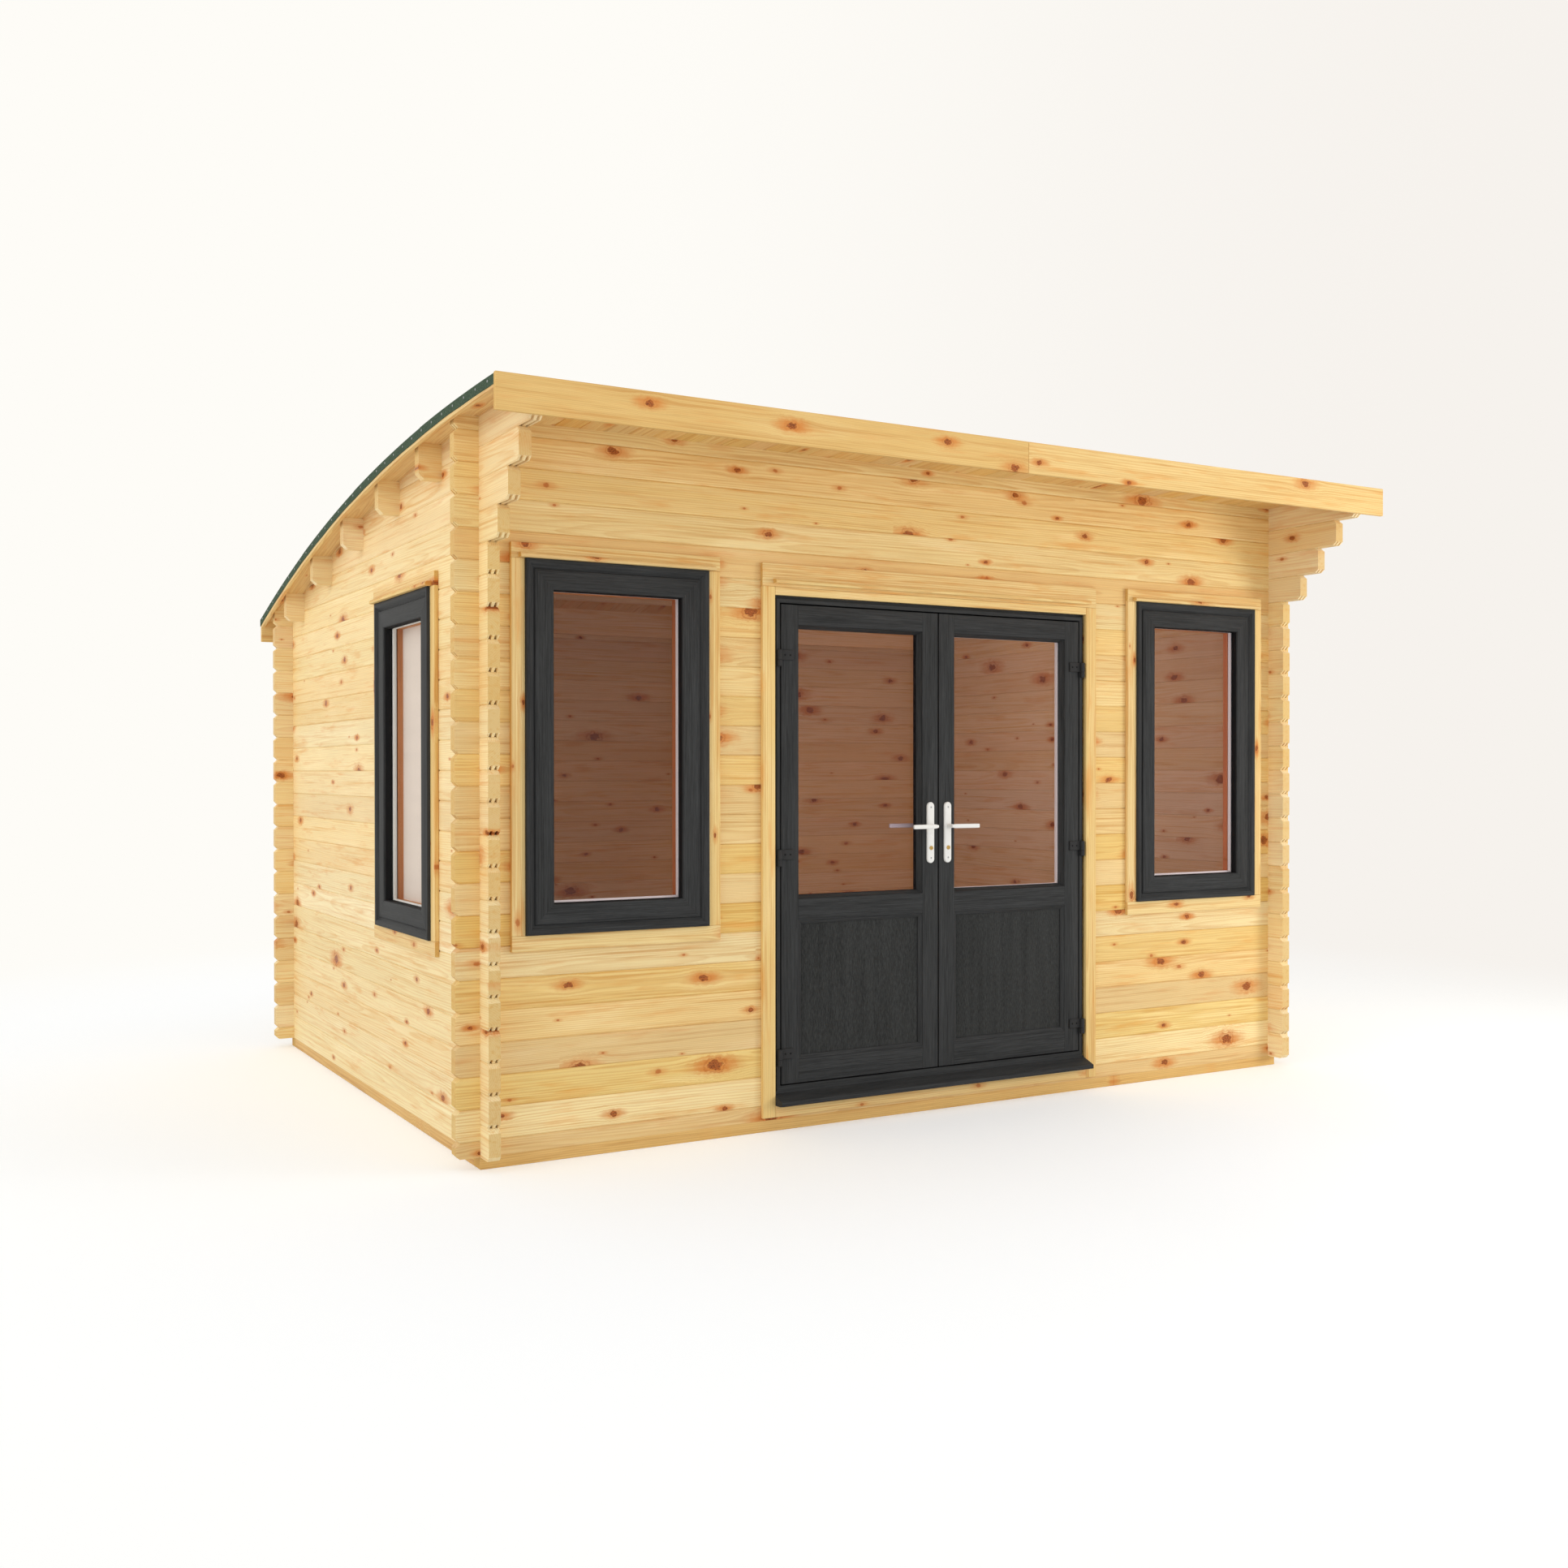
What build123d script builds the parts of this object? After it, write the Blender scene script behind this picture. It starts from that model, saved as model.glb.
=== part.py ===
from build123d import *
import os
from math import ceil, sqrt

# A log cabin of interlocking pine logs with a curved felt roof, double doors and three windows.
# Origin: middle of the footprint of the whole cabin, on the ground. Front faces -Y, +Z is up.

# Log walls
length = 3960.0             # over the outer faces of the side walls
depth = 2920.0              # over the outer faces of the front and back walls
wall = 44.0                 # log thickness
log_pitch = 114.0           # height of one log course
log_end = 90.0              # what the logs run on past each corner
groove = 4.0                # V joint between two logs, its depth and half its height
end_notch = 9.0             # chamfer over and under each log end
wall_courses = 19           # full courses of a side wall under the gable
tongue_groove = 8.0         # the two grooves under a log that reaches out
tongue_pitch = 20.0

# Ground frame and floor
bearer = 45.0               # height of the treated ground bearers
bearer_width = 70.0
joist_count = 8
floor_board = 19.0
floor_gap = 4.0             # left between the floor and the logs

# Roof
roof_top = 2689.0           # felt level at the front edge, where the roof is highest
roof_radius = 13390.0       # of the felt, crown at the front edge
front_overhang = 521.0      # from the front wall to the face of the front fascia
rear_overhang = 144.0
side_overhang = 124.0
felt = 3.0
roof_board = 18.0
edge_trim = 18.0            # curved strip along each side of the roof
edge_trim_height = 46.0
felt_flap = 30.0            # how far the felt is turned down over the edges
fascia = 18.0
front_fascia_height = 123.0
rear_fascia_height = 118.0
front_fascia_joint = 60.0   # from the cabin's middle to the joint of the two front boards

# Purlins
purlin_width = 44.0
purlin_height = 135.0
purlin_first = 418.0        # from the front wall's face to the first purlin's face
purlin_spacing = 551.0
purlin_count = 5
purlin_chamfer = 22.0

# Trims and windows
trim = 18.0
window_width = 734.0
window_height = 1350.0
window_sill = 821.0         # underside of the front windows' frames
window_proud = 30.0         # frames stand out of the wall by this
window_depth = 70.0
window_offset = 1449.0      # from the cabin's middle to the middle of each front window
side_window_sill = 764.0
side_window_place = 881.0   # from the front wall's face to the middle of the side window
frame_face = 45.0           # outer frame of a window
sash_face = 66.0            # sash and glazing bead
sash_step = 8.0             # the sash lies behind the frame's face
sash_depth = 61.0
glass = 24.0                # sealed double glazing
glass_recess = 43.0         # from a window frame's face to its glass
glass_rebate = 12.0         # how deep the glass sits in the sash
fit_gap = 5.0               # round every frame in its hole
trim_side = 52.0
trim_head = 55.0
trim_foot = 58.0
drip = 45.0                 # what a drip strip stands out of the wall
drip_height = 19.0
drip_run = 24.0             # what it runs on past the frame at each end

# Doorway
door_width = 1576.0         # over the frame, between the side trims
door_head = 2097.0          # top of the frame
door_sill = 146.0           # top of the threshold sill
door_proud = 5.0            # frame and leaves stand out of the wall by this
door_frame_depth = 80.0
door_frame_face = 28.0      # frame seen round the closed leaves
door_frame_rebate = 12.0    # width and depth of the open joint round the frame
door_stop_lap = 10.0        # how far the stop reaches behind the leaves
leaf_gap = 6.0              # round and between the leaves
leaf_thick = 60.0
leaf_stop_gap = 5.0
stile = 78.0
top_rail = 78.0
middle_rail = 83.0
bottom_rail = 92.0
middle_rail_top = 905.0     # height of the glass's lower edge
meeting_taper = 4.0         # the meeting edges lean back so that they swing clear
panel = 24.0
panel_recess = 14.0
leaf_glass_recess = 30.0    # from a leaf's face to its glass
door_trim_side = 57.0
door_trim_head = 90.0
door_trim_bead = 32.0       # strip under the head board
door_trim_foot = 45.0
door_drip_run = 9.0
door_drip_lift = 11.0       # bare board under the drip strip
cill_out = 68.0             # how far the cill stands out of the wall
cill_edge = 17.0            # height of its front edge
cill_fall = 23.0
cill_lip = 20.0             # run of the bevel under its front edge

# Door furniture
round_sides = 16            # small round pieces have this many flat sides
hinge_heights = (287.0, 1069.0, 1852.0)
hinge_height = 65.0         # of the whole hinge
flag_height = 40.0          # the leaf's part of it, on top
flag_length = 52.0          # on the leaf
flag_thick = 6.0
knuckle_radius = 10.0
knuckle_gap = 0.3
pin_place = 14.0            # from the leaf's edge to the hinge's axis
handle_place = 43.5         # from the meeting line to the middle of the handle
plate_width = 34.0
plate_height = 253.0
plate_thick = 9.0
plate_middle = 1154.5
lever_height = 1181.0
cylinder_drop = 90.0        # from the lever's axis to the key cylinder
cylinder_radius = 8.5
cylinder_proud = 4.0
lever_length = 122.0        # from the axis to the tip
lever_bar_height = 18.0
lever_bar = 10.0            # thickness of the bar
lever_out = 53.0            # from the leaf's face to the outer side of the bar
lever_sweep = 12.0          # the tip stands further out by this
lever_neck = 10.0
spindle = 4.0
spindle_clearance = 0.5
neck_gap = 0.5

# Places that follow from the sizes above
total_depth = front_overhang + depth + rear_overhang
front = -total_depth / 2 + front_overhang     # outer face of the front wall
back = front + depth                          # outer face of the back wall
side = length / 2                             # outer face of each side wall, from the middle
half_log = log_pitch / 2
side_base = bearer                            # first joint level of the side walls
front_base = bearer + half_log                # first joint level of the front and back walls
gable_base = side_base + wall_courses * log_pitch
roof_side = side + side_overhang
roof_front = -total_depth / 2
roof_back = total_depth / 2
board_front = roof_front + fascia
board_back = roof_back - felt - fascia
covered_side = roof_side - felt                # under the felt that is turned down at the sides
board_side = covered_side - edge_trim
board_radius = roof_radius - felt
under_radius = board_radius - roof_board
crown = roof_top - roof_radius
door_bottom = front_base                      # the doorway starts on the half log
gable_courses = ceil((roof_top - gable_base) / log_pitch) - 1
corbel_step = (front_overhang - fascia - log_end) / gable_courses    # what each gable log reaches out


def block(x0, x1, y0, y1, z0, z1):
    """A box given by its two corners."""
    return Pos((x0 + x1) / 2, (y0 + y1) / 2, (z0 + z1) / 2) * Box(x1 - x0, y1 - y0, z1 - z0)


def along_x(points, x0, x1):
    """An outline of (y, z) points, run along X."""
    face = make_face(Polyline(*points, close=True))
    return extrude(Plane.YZ.offset(x0) * face, x1 - x0)


def along_y(points, y0, y1):
    """An outline of (x, z) points, run along Y."""
    face = make_face(Polyline(*points, close=True))
    return extrude(Plane.XZ.offset(-y1) * face, y1 - y0)


def along_z(points, z0, z1):
    """An outline of (x, y) points, run up Z."""
    face = make_face(Polyline(*points, close=True))
    return extrude(Plane.XY.offset(z0) * face, z1 - z0)


def save(name, *pieces):
    """Write one node. Pieces that touch are given fused, and the others stay apart."""
    part = pieces[0] if len(pieces) == 1 else Compound(children=[Part(p.wrapped) for p in pieces])
    export_step(part, f"parts/{name}.step")


# Roof curve
def roof_level(radius, y):
    """Height of the roof circle of this radius over the place y."""
    return crown + sqrt(radius ** 2 - (y - roof_front) ** 2)


def roof_shell(outer, inner, x0, x1, y0, y1):
    """What lies between two circles of the roof. With no inner one, all that lies below."""
    places = (y0, (y0 + y1) / 2, y1)
    top = ThreePointArc(*[(y, roof_level(outer, y)) for y in places])
    if inner is None:
        low = Line((y1, 0), (y0, 0))
    else:
        low = ThreePointArc(*[(y, roof_level(inner, y)) for y in reversed(places)])
    face = make_face([top, Line(top @ 1, low @ 0), low, Line(low @ 1, top @ 0)])
    return extrude(Plane.YZ.offset(x0) * face, x1 - x0)


under_roof = roof_shell(under_radius, None, -roof_side, roof_side, board_front, board_back)


# Logs
def joint_levels(z0, z1, first_joint):
    """Levels of the joints from z0 to z1, with the lower and upper edge of the stack if they are joints."""
    count = int((z1 - first_joint) // log_pitch) + 1
    levels = [first_joint + k * log_pitch for k in range(count)]
    return [z for z in levels if z0 <= z <= z1]


def log_section(z0, z1, first_joint):
    """Outline of a stack of logs across the wall, with a V on the outer face at each joint."""
    points = []
    for z in joint_levels(z0, z1, first_joint):
        for y, dz in ((0, -groove), (groove, 0), (0, groove)):
            if z0 <= z + dz <= z1:
                points.append((y, z + dz))
    if not points or points[0][1] > z0:
        points.insert(0, (0, z0))
    if points[-1][1] < z1:
        points.append((0, z1))
    return points + [(wall, z1), (wall, z0)]


def log_stack(x0, x1, z0, z1, first_joint, ends, crossings, first_cross):
    """Logs along X. Ends lists (place, way in), and crossings where other logs pass through."""
    section = log_section(z0, z1, first_joint)
    stack = along_x(section, x0, x1)
    cuts = []
    for place, way in ends:
        for z in joint_levels(z0, z1, first_joint):
            notch = [(place, z - end_notch), (place + way * end_notch, z), (place, z + end_notch)]
            cuts.append(along_y(notch, 0, wall))
    for x in crossings:
        z = first_cross
        while z < z1:
            if z + half_log > z0:
                cuts.append(block(x, x + wall, 0, wall, max(z, z0), min(z + half_log, z1)))
            z += log_pitch
    return stack - cuts if cuts else stack


cross_side = side_base + half_log / 2         # lowest place where a side log passes a corner
cross_front = cross_side - half_log           # lowest place where a front log passes a corner
x_crossings = (-side, side - wall)


def place_front(part):
    return Pos(0, front, 0) * part


def place_back(part):
    return Pos(0, back, 0) * mirror(part, Plane.XZ)


def place_left(part):
    """Turn logs that run along X so that they run along Y, with their outer faces to the left."""
    return Pos(-side, front, 0) * mirror(Rot(0, 0, 90) * part, Plane.YZ)


def place_right(part):
    return Pos(side, front, 0) * Rot(0, 0, 90) * part


# Purlins
def purlin_face(k):
    return front + purlin_first + purlin_spacing * k


def purlin_base(k):
    return roof_level(under_radius, purlin_face(k)) - purlin_height


def purlin(k):
    y0 = purlin_face(k)
    z0 = purlin_base(k)
    reach = side + log_end
    c = purlin_chamfer
    outline = [(-reach, z0 + c), (-reach + c, z0), (reach - c, z0), (reach, z0 + c),
               (reach, z0 + 2 * purlin_height), (-reach, z0 + 2 * purlin_height)]
    return along_y(outline, y0, y0 + purlin_width) & under_roof


purlins = [purlin(k) for k in range(purlin_count)]


# Window holes
front_windows = {"front_left_window": -window_offset, "front_right_window": window_offset}


def window_hole(x, z0):
    half = window_width / 2 + fit_gap
    return block(x - half, x + half, -wall, 2 * wall, z0 - fit_gap, z0 + window_height + fit_gap)


# Walls
door_hole = door_width / 2 + fit_gap
door_hole_top = door_head + fit_gap
reach = side + log_end
left_tip = (-reach, 1)
right_tip = (reach, -1)
left_logs = log_stack(-reach, -door_hole, bearer, roof_top, front_base, [left_tip], [-side], cross_side)
right_logs = log_stack(door_hole, reach, bearer, roof_top, front_base, [right_tip], [side - wall], cross_side)
head_logs = log_stack(-door_hole, door_hole, door_hole_top, roof_top, front_base, [], [], cross_side)
sill_log = log_stack(-door_hole, door_hole, bearer, door_bottom, front_base, [], [], cross_side)
back_tips = [left_tip, right_tip]
back_logs = log_stack(-reach, reach, bearer, roof_top, front_base, back_tips, x_crossings, cross_side)

front_wall_left = place_front(left_logs - window_hole(-window_offset, window_sill)) & under_roof
front_wall_right = place_front(right_logs - window_hole(window_offset, window_sill)) & under_roof
front_wall_head = place_front(head_logs) & under_roof
front_wall_sill = place_front(sill_log)
back_wall = place_back(back_logs) & under_roof


def side_logs(z0, z1, run0, run1, ends):
    return log_stack(run0, run1, z0, z1, side_base, ends, [0, depth - wall], cross_front)


def gable_logs():
    """Courses of a gable, each reaching further out than the one below, with a twin groove beneath."""
    courses = []
    for k in range(gable_courses):
        z0 = gable_base + k * log_pitch
        tip = -log_end - corbel_step * (k + 1)
        log = side_logs(z0, z0 + log_pitch, tip, depth - wall, [(tip, 1)])
        below = tip + corbel_step
        for turn in (-1, 1):
            y = wall / 2 + turn * tongue_pitch / 2
            log -= block(tip, below, y - tongue_groove / 2, y + tongue_groove / 2, z0, z0 + tongue_groove)
        courses.append(log)
    gable = courses[0]
    for log in courses[1:]:
        gable += log
    return gable


lower_logs = side_logs(bearer, gable_base, -log_end, depth + log_end, [(-log_end, 1), (depth + log_end, -1)])
upper_logs = gable_logs()
side_hole = window_hole(side_window_place, side_window_sill)
left_wall = (place_left(lower_logs - side_hole) & under_roof) - purlins
right_wall = (place_right(lower_logs) & under_roof) - purlins
left_gable = (place_left(upper_logs - side_hole) & under_roof) - purlins
right_gable = (place_right(upper_logs) & under_roof) - purlins


# Ground frame and floor
def ground_frame():
    x1 = side
    ring = block(-x1, x1, front, back, 0, bearer)
    ring -= block(-x1 + bearer_width, x1 - bearer_width, front + bearer_width, back - bearer_width, 0, bearer)
    span = 2 * (x1 - bearer_width)
    for k in range(1, joist_count + 1):
        x = -span / 2 + k * span / (joist_count + 1)
        ring += block(x - bearer / 2, x + bearer / 2, front + bearer_width, back - bearer_width, 0, bearer)
    return ring


inside = wall + floor_gap
floor_side = side - inside
floor_boards = block(-floor_side, floor_side, front + inside, back - inside, bearer, bearer + floor_board)

# Roof covering
roof_boards = roof_shell(board_radius, under_radius, -board_side, board_side, board_front, board_back)
trim_low = board_radius - edge_trim_height
roof_edge_trims = [roof_shell(board_radius, trim_low, x, x + edge_trim, board_front, board_back)
                   for x in (-covered_side, board_side)]
felt_outer = roof_shell(roof_radius, roof_radius - felt_flap, -roof_side, roof_side, board_front, roof_back)
felt_inner = roof_shell(board_radius, None, -covered_side, covered_side, board_front, roof_back - felt)
roof_felt = felt_outer - felt_inner


def front_fascia(x0, x1):
    low = roof_top - front_fascia_height
    return block(x0, x1, roof_front, board_front, low, roof_top)


rear_low = roof_level(roof_radius, roof_back) - rear_fascia_height
rear_fascia = roof_shell(board_radius, None, -covered_side, covered_side, board_back, board_back + fascia)
rear_fascia &= block(-roof_side, roof_side, board_back, board_back + fascia, rear_low, roof_top)


# Windows, made facing -Y with the wall's face at y = 0, and their middle at x = 0
def ring(width, height, z0, face, y0, y1):
    """A rectangular frame with members of one width."""
    outer = block(-width / 2, width / 2, y0, y1, z0, z0 + height)
    inner = block(-width / 2 + face, width / 2 - face, y0, y1, z0 + face, z0 + height - face)
    return outer - inner


def window_frame(z0):
    y0 = -window_proud
    y_glass = y0 + glass_recess
    frame = ring(window_width, window_height, z0, frame_face, y0, y0 + window_depth)
    inner_w = window_width - 2 * frame_face
    inner_h = window_height - 2 * frame_face
    sash = ring(inner_w, inner_h, z0 + frame_face, sash_face, y0 + sash_step, y0 + sash_step + sash_depth)
    pane_w = inner_w - 2 * (sash_face - glass_rebate)
    pane_h = inner_h - 2 * (sash_face - glass_rebate)
    pane_z = z0 + frame_face + sash_face - glass_rebate
    pane = block(-pane_w / 2, pane_w / 2, y_glass, y_glass + glass, pane_z, pane_z + pane_h)
    return frame + (sash - pane), pane


def window_trim(z0):
    """Boards round the frame, with a drip strip over it."""
    w = window_width / 2
    z1 = z0 + window_height
    boards = block(-w - trim_side, w + trim_side, -trim, 0, z0 - trim_foot, z1 + trim_head)
    boards -= block(-w, w, -trim, 0, z0, z1)
    strip = block(-w - drip_run, w + drip_run, -drip, -trim, z1, z1 + drip_height)
    return boards + strip


# Double doors, made with the wall's face at y = 0
leaf_face = -door_proud
leaf_back = leaf_face + leaf_thick
frame_back = leaf_face + door_frame_depth
rebate = door_frame_face
leaf_z0 = door_sill + rebate + leaf_gap
leaf_z1 = door_head - rebate - leaf_gap
leaf_x0 = door_width / 2 - rebate - leaf_gap  # hinge edge, from the middle
leaf_x1 = leaf_gap / 2                        # meeting edge, from the middle
pin_x = leaf_x0 + pin_place
pin_y = leaf_face - knuckle_radius - knuckle_gap
stop_y = leaf_back + leaf_stop_gap


def door_frame():
    w = door_width / 2
    joint = door_frame_rebate
    outer = block(-w, w, leaf_face + joint, frame_back, door_sill, door_head)
    outer += block(-w + joint, w - joint, leaf_face, leaf_face + joint, door_sill, door_head - joint)
    space = block(-w + rebate, w - rebate, leaf_face, stop_y, door_sill + rebate, door_head - rebate)
    lap = rebate + leaf_gap + door_stop_lap
    through = block(-w + lap, w - lap, leaf_face, frame_back, door_sill + lap, door_head - lap)
    return outer - space - through


def door_cill():
    """Sloping cill under the threshold, between the side trims."""
    w = door_width / 2
    nose_top = door_sill - cill_fall
    nose = [(-cill_out + cill_lip, door_bottom), (-cill_out, nose_top - cill_edge), (-cill_out, nose_top)]
    return along_x([(frame_back, door_bottom), *nose, (leaf_face, door_sill), (frame_back, door_sill)], -w, w)


def door_trim():
    """Boards all round the doorway, with a bead over the frame and a drip strip on the head board."""
    inner = door_width / 2
    outer = inner + door_trim_side
    foot = door_bottom - door_trim_foot
    head = door_head + door_trim_bead
    boards = block(-outer, outer, -trim, 0, foot, head + door_trim_head)
    boards -= block(-inner, inner, -trim, 0, door_bottom, door_head)
    drip_low = head + door_drip_lift
    drip_half = inner + door_drip_run
    return boards + block(-drip_half, drip_half, -drip, -trim, drip_low, drip_low + drip_height)


def mirrored(part, hand):
    """Pieces are drawn for the right leaf (hand 1) and mirrored for the left one (hand -1)."""
    return part if hand == 1 else mirror(part, Plane.YZ)


def leaf_pieces(hand):
    meeting_back = leaf_x1 + meeting_taper
    taper = [(leaf_x1, leaf_face), (leaf_x0, leaf_face), (leaf_x0, leaf_back), (meeting_back, leaf_back)]
    whole = along_z(taper, leaf_z0, leaf_z1)
    x0 = leaf_x1 + stile
    x1 = leaf_x0 - stile
    glass_z0 = middle_rail_top
    glass_z1 = leaf_z1 - top_rail
    panel_z0 = leaf_z0 + bottom_rail
    panel_z1 = middle_rail_top - middle_rail
    y_glass = leaf_face + leaf_glass_recess
    y_panel = leaf_face + panel_recess
    lap = glass_rebate
    pane = block(x0 - lap, x1 + lap, y_glass, y_glass + glass, glass_z0 - lap, glass_z1 + lap)
    board = block(x0 - lap, x1 + lap, y_panel, y_panel + panel, panel_z0 - lap, panel_z1 + lap)
    frame = whole - block(x0, x1, leaf_face, leaf_back, glass_z0, glass_z1)
    frame -= block(x0, x1, leaf_face, leaf_back, panel_z0, panel_z1)
    frame -= [pane, board]
    frame -= spindle_bore(leaf_face, leaf_back)
    return [mirrored(p, hand) for p in (frame, pane, board)]


def across(radius, y0, y1, z, whole=True):
    """A rod from front to back through the handle, with its radius to the corners, or else to the flats."""
    outline = RegularPolygon(radius, round_sides, major_radius=whole)
    return Pos(handle_place, 0, z) * extrude(Plane.XZ.offset(-y1) * outline, y1 - y0)


def spindle_bore(y0, y1):
    return across(spindle + spindle_clearance, y0, y1, lever_height, whole=False)


def handle_plate(y0, y1):
    """A plate with round ends, bored for the spindle."""
    straight = (plate_height - plate_width) / 2
    plate = block(-plate_width / 2, plate_width / 2, y0, y1, -straight, straight)
    plate = Pos(handle_place, 0, plate_middle) * plate
    for end in (-straight, straight):
        plate += across(plate_width / 2, y0, y1, plate_middle + end)
    return plate - spindle_bore(y0, y1)


def handle_set(hand):
    """Both plates, each with the end of the key cylinder."""
    key_height = lever_height - cylinder_drop
    plates = []
    for y, way in ((leaf_face, -1), (leaf_back, 1)):
        top = y + way * plate_thick
        nose = top + way * cylinder_proud
        plate = handle_plate(min(y, top), max(y, top))
        plate += across(cylinder_radius, min(top, nose), max(top, nose), key_height)
        plates.append(mirrored(plate, hand))
    return plates


def lever_side(face, way):
    """One lever: a neck out of the plate, and a bar towards the hinges that stands out more at its tip."""
    y_neck = face + way * (plate_thick + neck_gap)
    y_out = face + way * lever_out
    y_tip = y_out + way * lever_sweep
    tip = handle_place + lever_length
    thick = way * lever_bar
    outline = [(handle_place, y_out), (tip, y_tip), (tip, y_tip - thick), (handle_place, y_out - thick)]
    half = lever_bar_height / 2
    neck = across(lever_neck, min(y_neck, y_out), max(y_neck, y_out), lever_height)
    return neck + along_z(outline, lever_height - half, lever_height + half)


def lever_pair(hand):
    """Outer and inner lever on one spindle."""
    reach = plate_thick + neck_gap
    shaft = across(spindle, leaf_face - reach, leaf_back + reach, lever_height)
    return mirrored(lever_side(leaf_face, -1) + shaft + lever_side(leaf_back, 1), hand)


def knuckle(z0, z1):
    """One knuckle of a hinge, from z0 to z1."""
    outline = Pos(pin_x, pin_y) * RegularPolygon(knuckle_radius, round_sides)
    return extrude(Plane.XY.offset(z0) * outline, z1 - z0)


def hinge_fixed(z, hand):
    """The frame's part of a hinge, which carries the leaf's part."""
    low = z - hinge_height / 2
    high = low + hinge_height - flag_height - knuckle_gap
    half = knuckle_radius / 2
    foot = block(pin_x - half, pin_x + half, leaf_face - flag_thick, leaf_face, low, high)
    return mirrored(knuckle(low, high) + foot, hand)


def hinge_flag(z, hand):
    """The leaf's part: a knuckle with a flag that lies on the leaf."""
    high = z + hinge_height / 2
    low = high - flag_height
    arm = block(leaf_x0, pin_x, leaf_face - flag_thick, leaf_face - knuckle_gap, low, high)
    flag = block(leaf_x0 - flag_length, leaf_x0, leaf_face - flag_thick, leaf_face, low, high)
    return mirrored(knuckle(low, high) + arm + flag, hand)


# Write every node
os.makedirs("parts", exist_ok=True)
save("floor_bearers", ground_frame())
save("floor_boards", floor_boards)
save("front_wall_left", front_wall_left)
save("front_wall_right", front_wall_right)
save("front_wall_head", front_wall_head)
save("front_wall_sill", front_wall_sill)
save("back_wall", back_wall)
save("left_wall", left_wall)
save("right_wall", right_wall)
save("left_gable", left_gable)
save("right_gable", right_gable)
for k, log in enumerate(purlins):
    save(f"purlin_{k + 1}", log)
save("roof_boards", roof_boards)
save("roof_edge_trims", *roof_edge_trims)
save("roof_felt", roof_felt)
save("front_fascia_left", front_fascia(-roof_side, front_fascia_joint))
save("front_fascia_right", front_fascia(front_fascia_joint, roof_side))
save("rear_fascia", rear_fascia)

for name, x in front_windows.items():
    frame, pane = window_frame(window_sill)
    place = Pos(x, front, 0)
    save(f"{name}_frame", place * frame)
    save(f"{name}_glass", place * pane)
    save(f"{name}_trim", place * window_trim(window_sill))
side_place = Pos(-side, front + side_window_place, 0) * Rot(0, 0, -90)
frame, pane = window_frame(side_window_sill)
save("side_window_frame", side_place * frame)
save("side_window_glass", side_place * pane)
save("side_window_trim", side_place * window_trim(side_window_sill))

save("door_frame", place_front(door_frame()))
save("door_cill", place_front(door_cill()))
save("door_trim", place_front(door_trim()))
hinges = [place_front(hinge_fixed(z, hand)) for hand in (-1, 1) for z in hinge_heights]
save("door_hinge_knuckles", *hinges)
for name, hand in (("left", -1), ("right", 1)):
    frame, pane, board = leaf_pieces(hand)
    save(f"{name}_leaf_frame", place_front(frame))
    save(f"{name}_leaf_glass", place_front(pane))
    save(f"{name}_leaf_panel", place_front(board))
    save(f"{name}_hinge_flags", *[place_front(hinge_flag(z, hand)) for z in hinge_heights])
    save(f"{name}_handle_plates", *[place_front(p) for p in handle_set(hand)])
    save(f"{name}_lever", place_front(lever_pair(hand)))
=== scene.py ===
import math
import random

import bpy
from mathutils import Matrix, Vector


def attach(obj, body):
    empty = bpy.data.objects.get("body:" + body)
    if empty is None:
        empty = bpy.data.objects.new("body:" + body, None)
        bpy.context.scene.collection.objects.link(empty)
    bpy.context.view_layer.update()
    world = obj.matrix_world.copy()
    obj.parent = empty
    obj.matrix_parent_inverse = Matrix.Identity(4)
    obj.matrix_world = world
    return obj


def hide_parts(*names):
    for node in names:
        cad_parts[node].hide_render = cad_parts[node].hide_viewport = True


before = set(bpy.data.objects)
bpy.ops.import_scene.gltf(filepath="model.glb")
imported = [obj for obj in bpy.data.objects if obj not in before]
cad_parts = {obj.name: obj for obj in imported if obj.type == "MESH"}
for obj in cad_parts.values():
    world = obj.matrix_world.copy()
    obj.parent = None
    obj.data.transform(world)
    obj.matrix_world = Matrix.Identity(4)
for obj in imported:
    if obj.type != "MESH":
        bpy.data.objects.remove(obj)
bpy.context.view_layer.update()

# A log cabin of interlocking pine logs. Metres, front towards -Y, the same frame as the solids.

# Sizes that the solids have too
WALL = 0.044
PITCH = 0.114
END = 0.090
LENGTH = 3.960
DEPTH = 2.920
BEARER = 0.045
FRONT_OVER = 0.521
REAR_OVER = 0.144
SIDE_OVER = 0.124
ROOF_TOP = 2.689
ROOF_RADIUS = 13.390
FELT = 0.003
BOARD = 0.018
EDGE_TRIM = 0.018
EDGE_TRIM_HEIGHT = 0.046
FASCIA = 0.018

TOTAL = FRONT_OVER + DEPTH + REAR_OVER
FRONT = -TOTAL / 2 + FRONT_OVER
BACK = FRONT + DEPTH
SIDE = LENGTH / 2
ROOF_FRONT = -TOTAL / 2
ROOF_BACK = TOTAL / 2
ROOF_SIDE = SIDE + SIDE_OVER
COVERED = ROOF_SIDE - FELT
BOARD_SIDE = COVERED - EDGE_TRIM
BOARD_FRONT = ROOF_FRONT + FASCIA
BOARD_BACK = ROOF_BACK - FELT - FASCIA
BOARD_RADIUS = ROOF_RADIUS - FELT
UNDER_RADIUS = BOARD_RADIUS - BOARD
CROWN = ROOF_TOP - ROOF_RADIUS
COURSES = 19
GABLE_BASE = BEARER + COURSES * PITCH
GABLE_COURSES = 4
# each log of the gable reaches further out than the one below it by this
CORBEL = (FRONT_OVER - FASCIA - END) / GABLE_COURSES

dice = random.Random(7)


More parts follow.
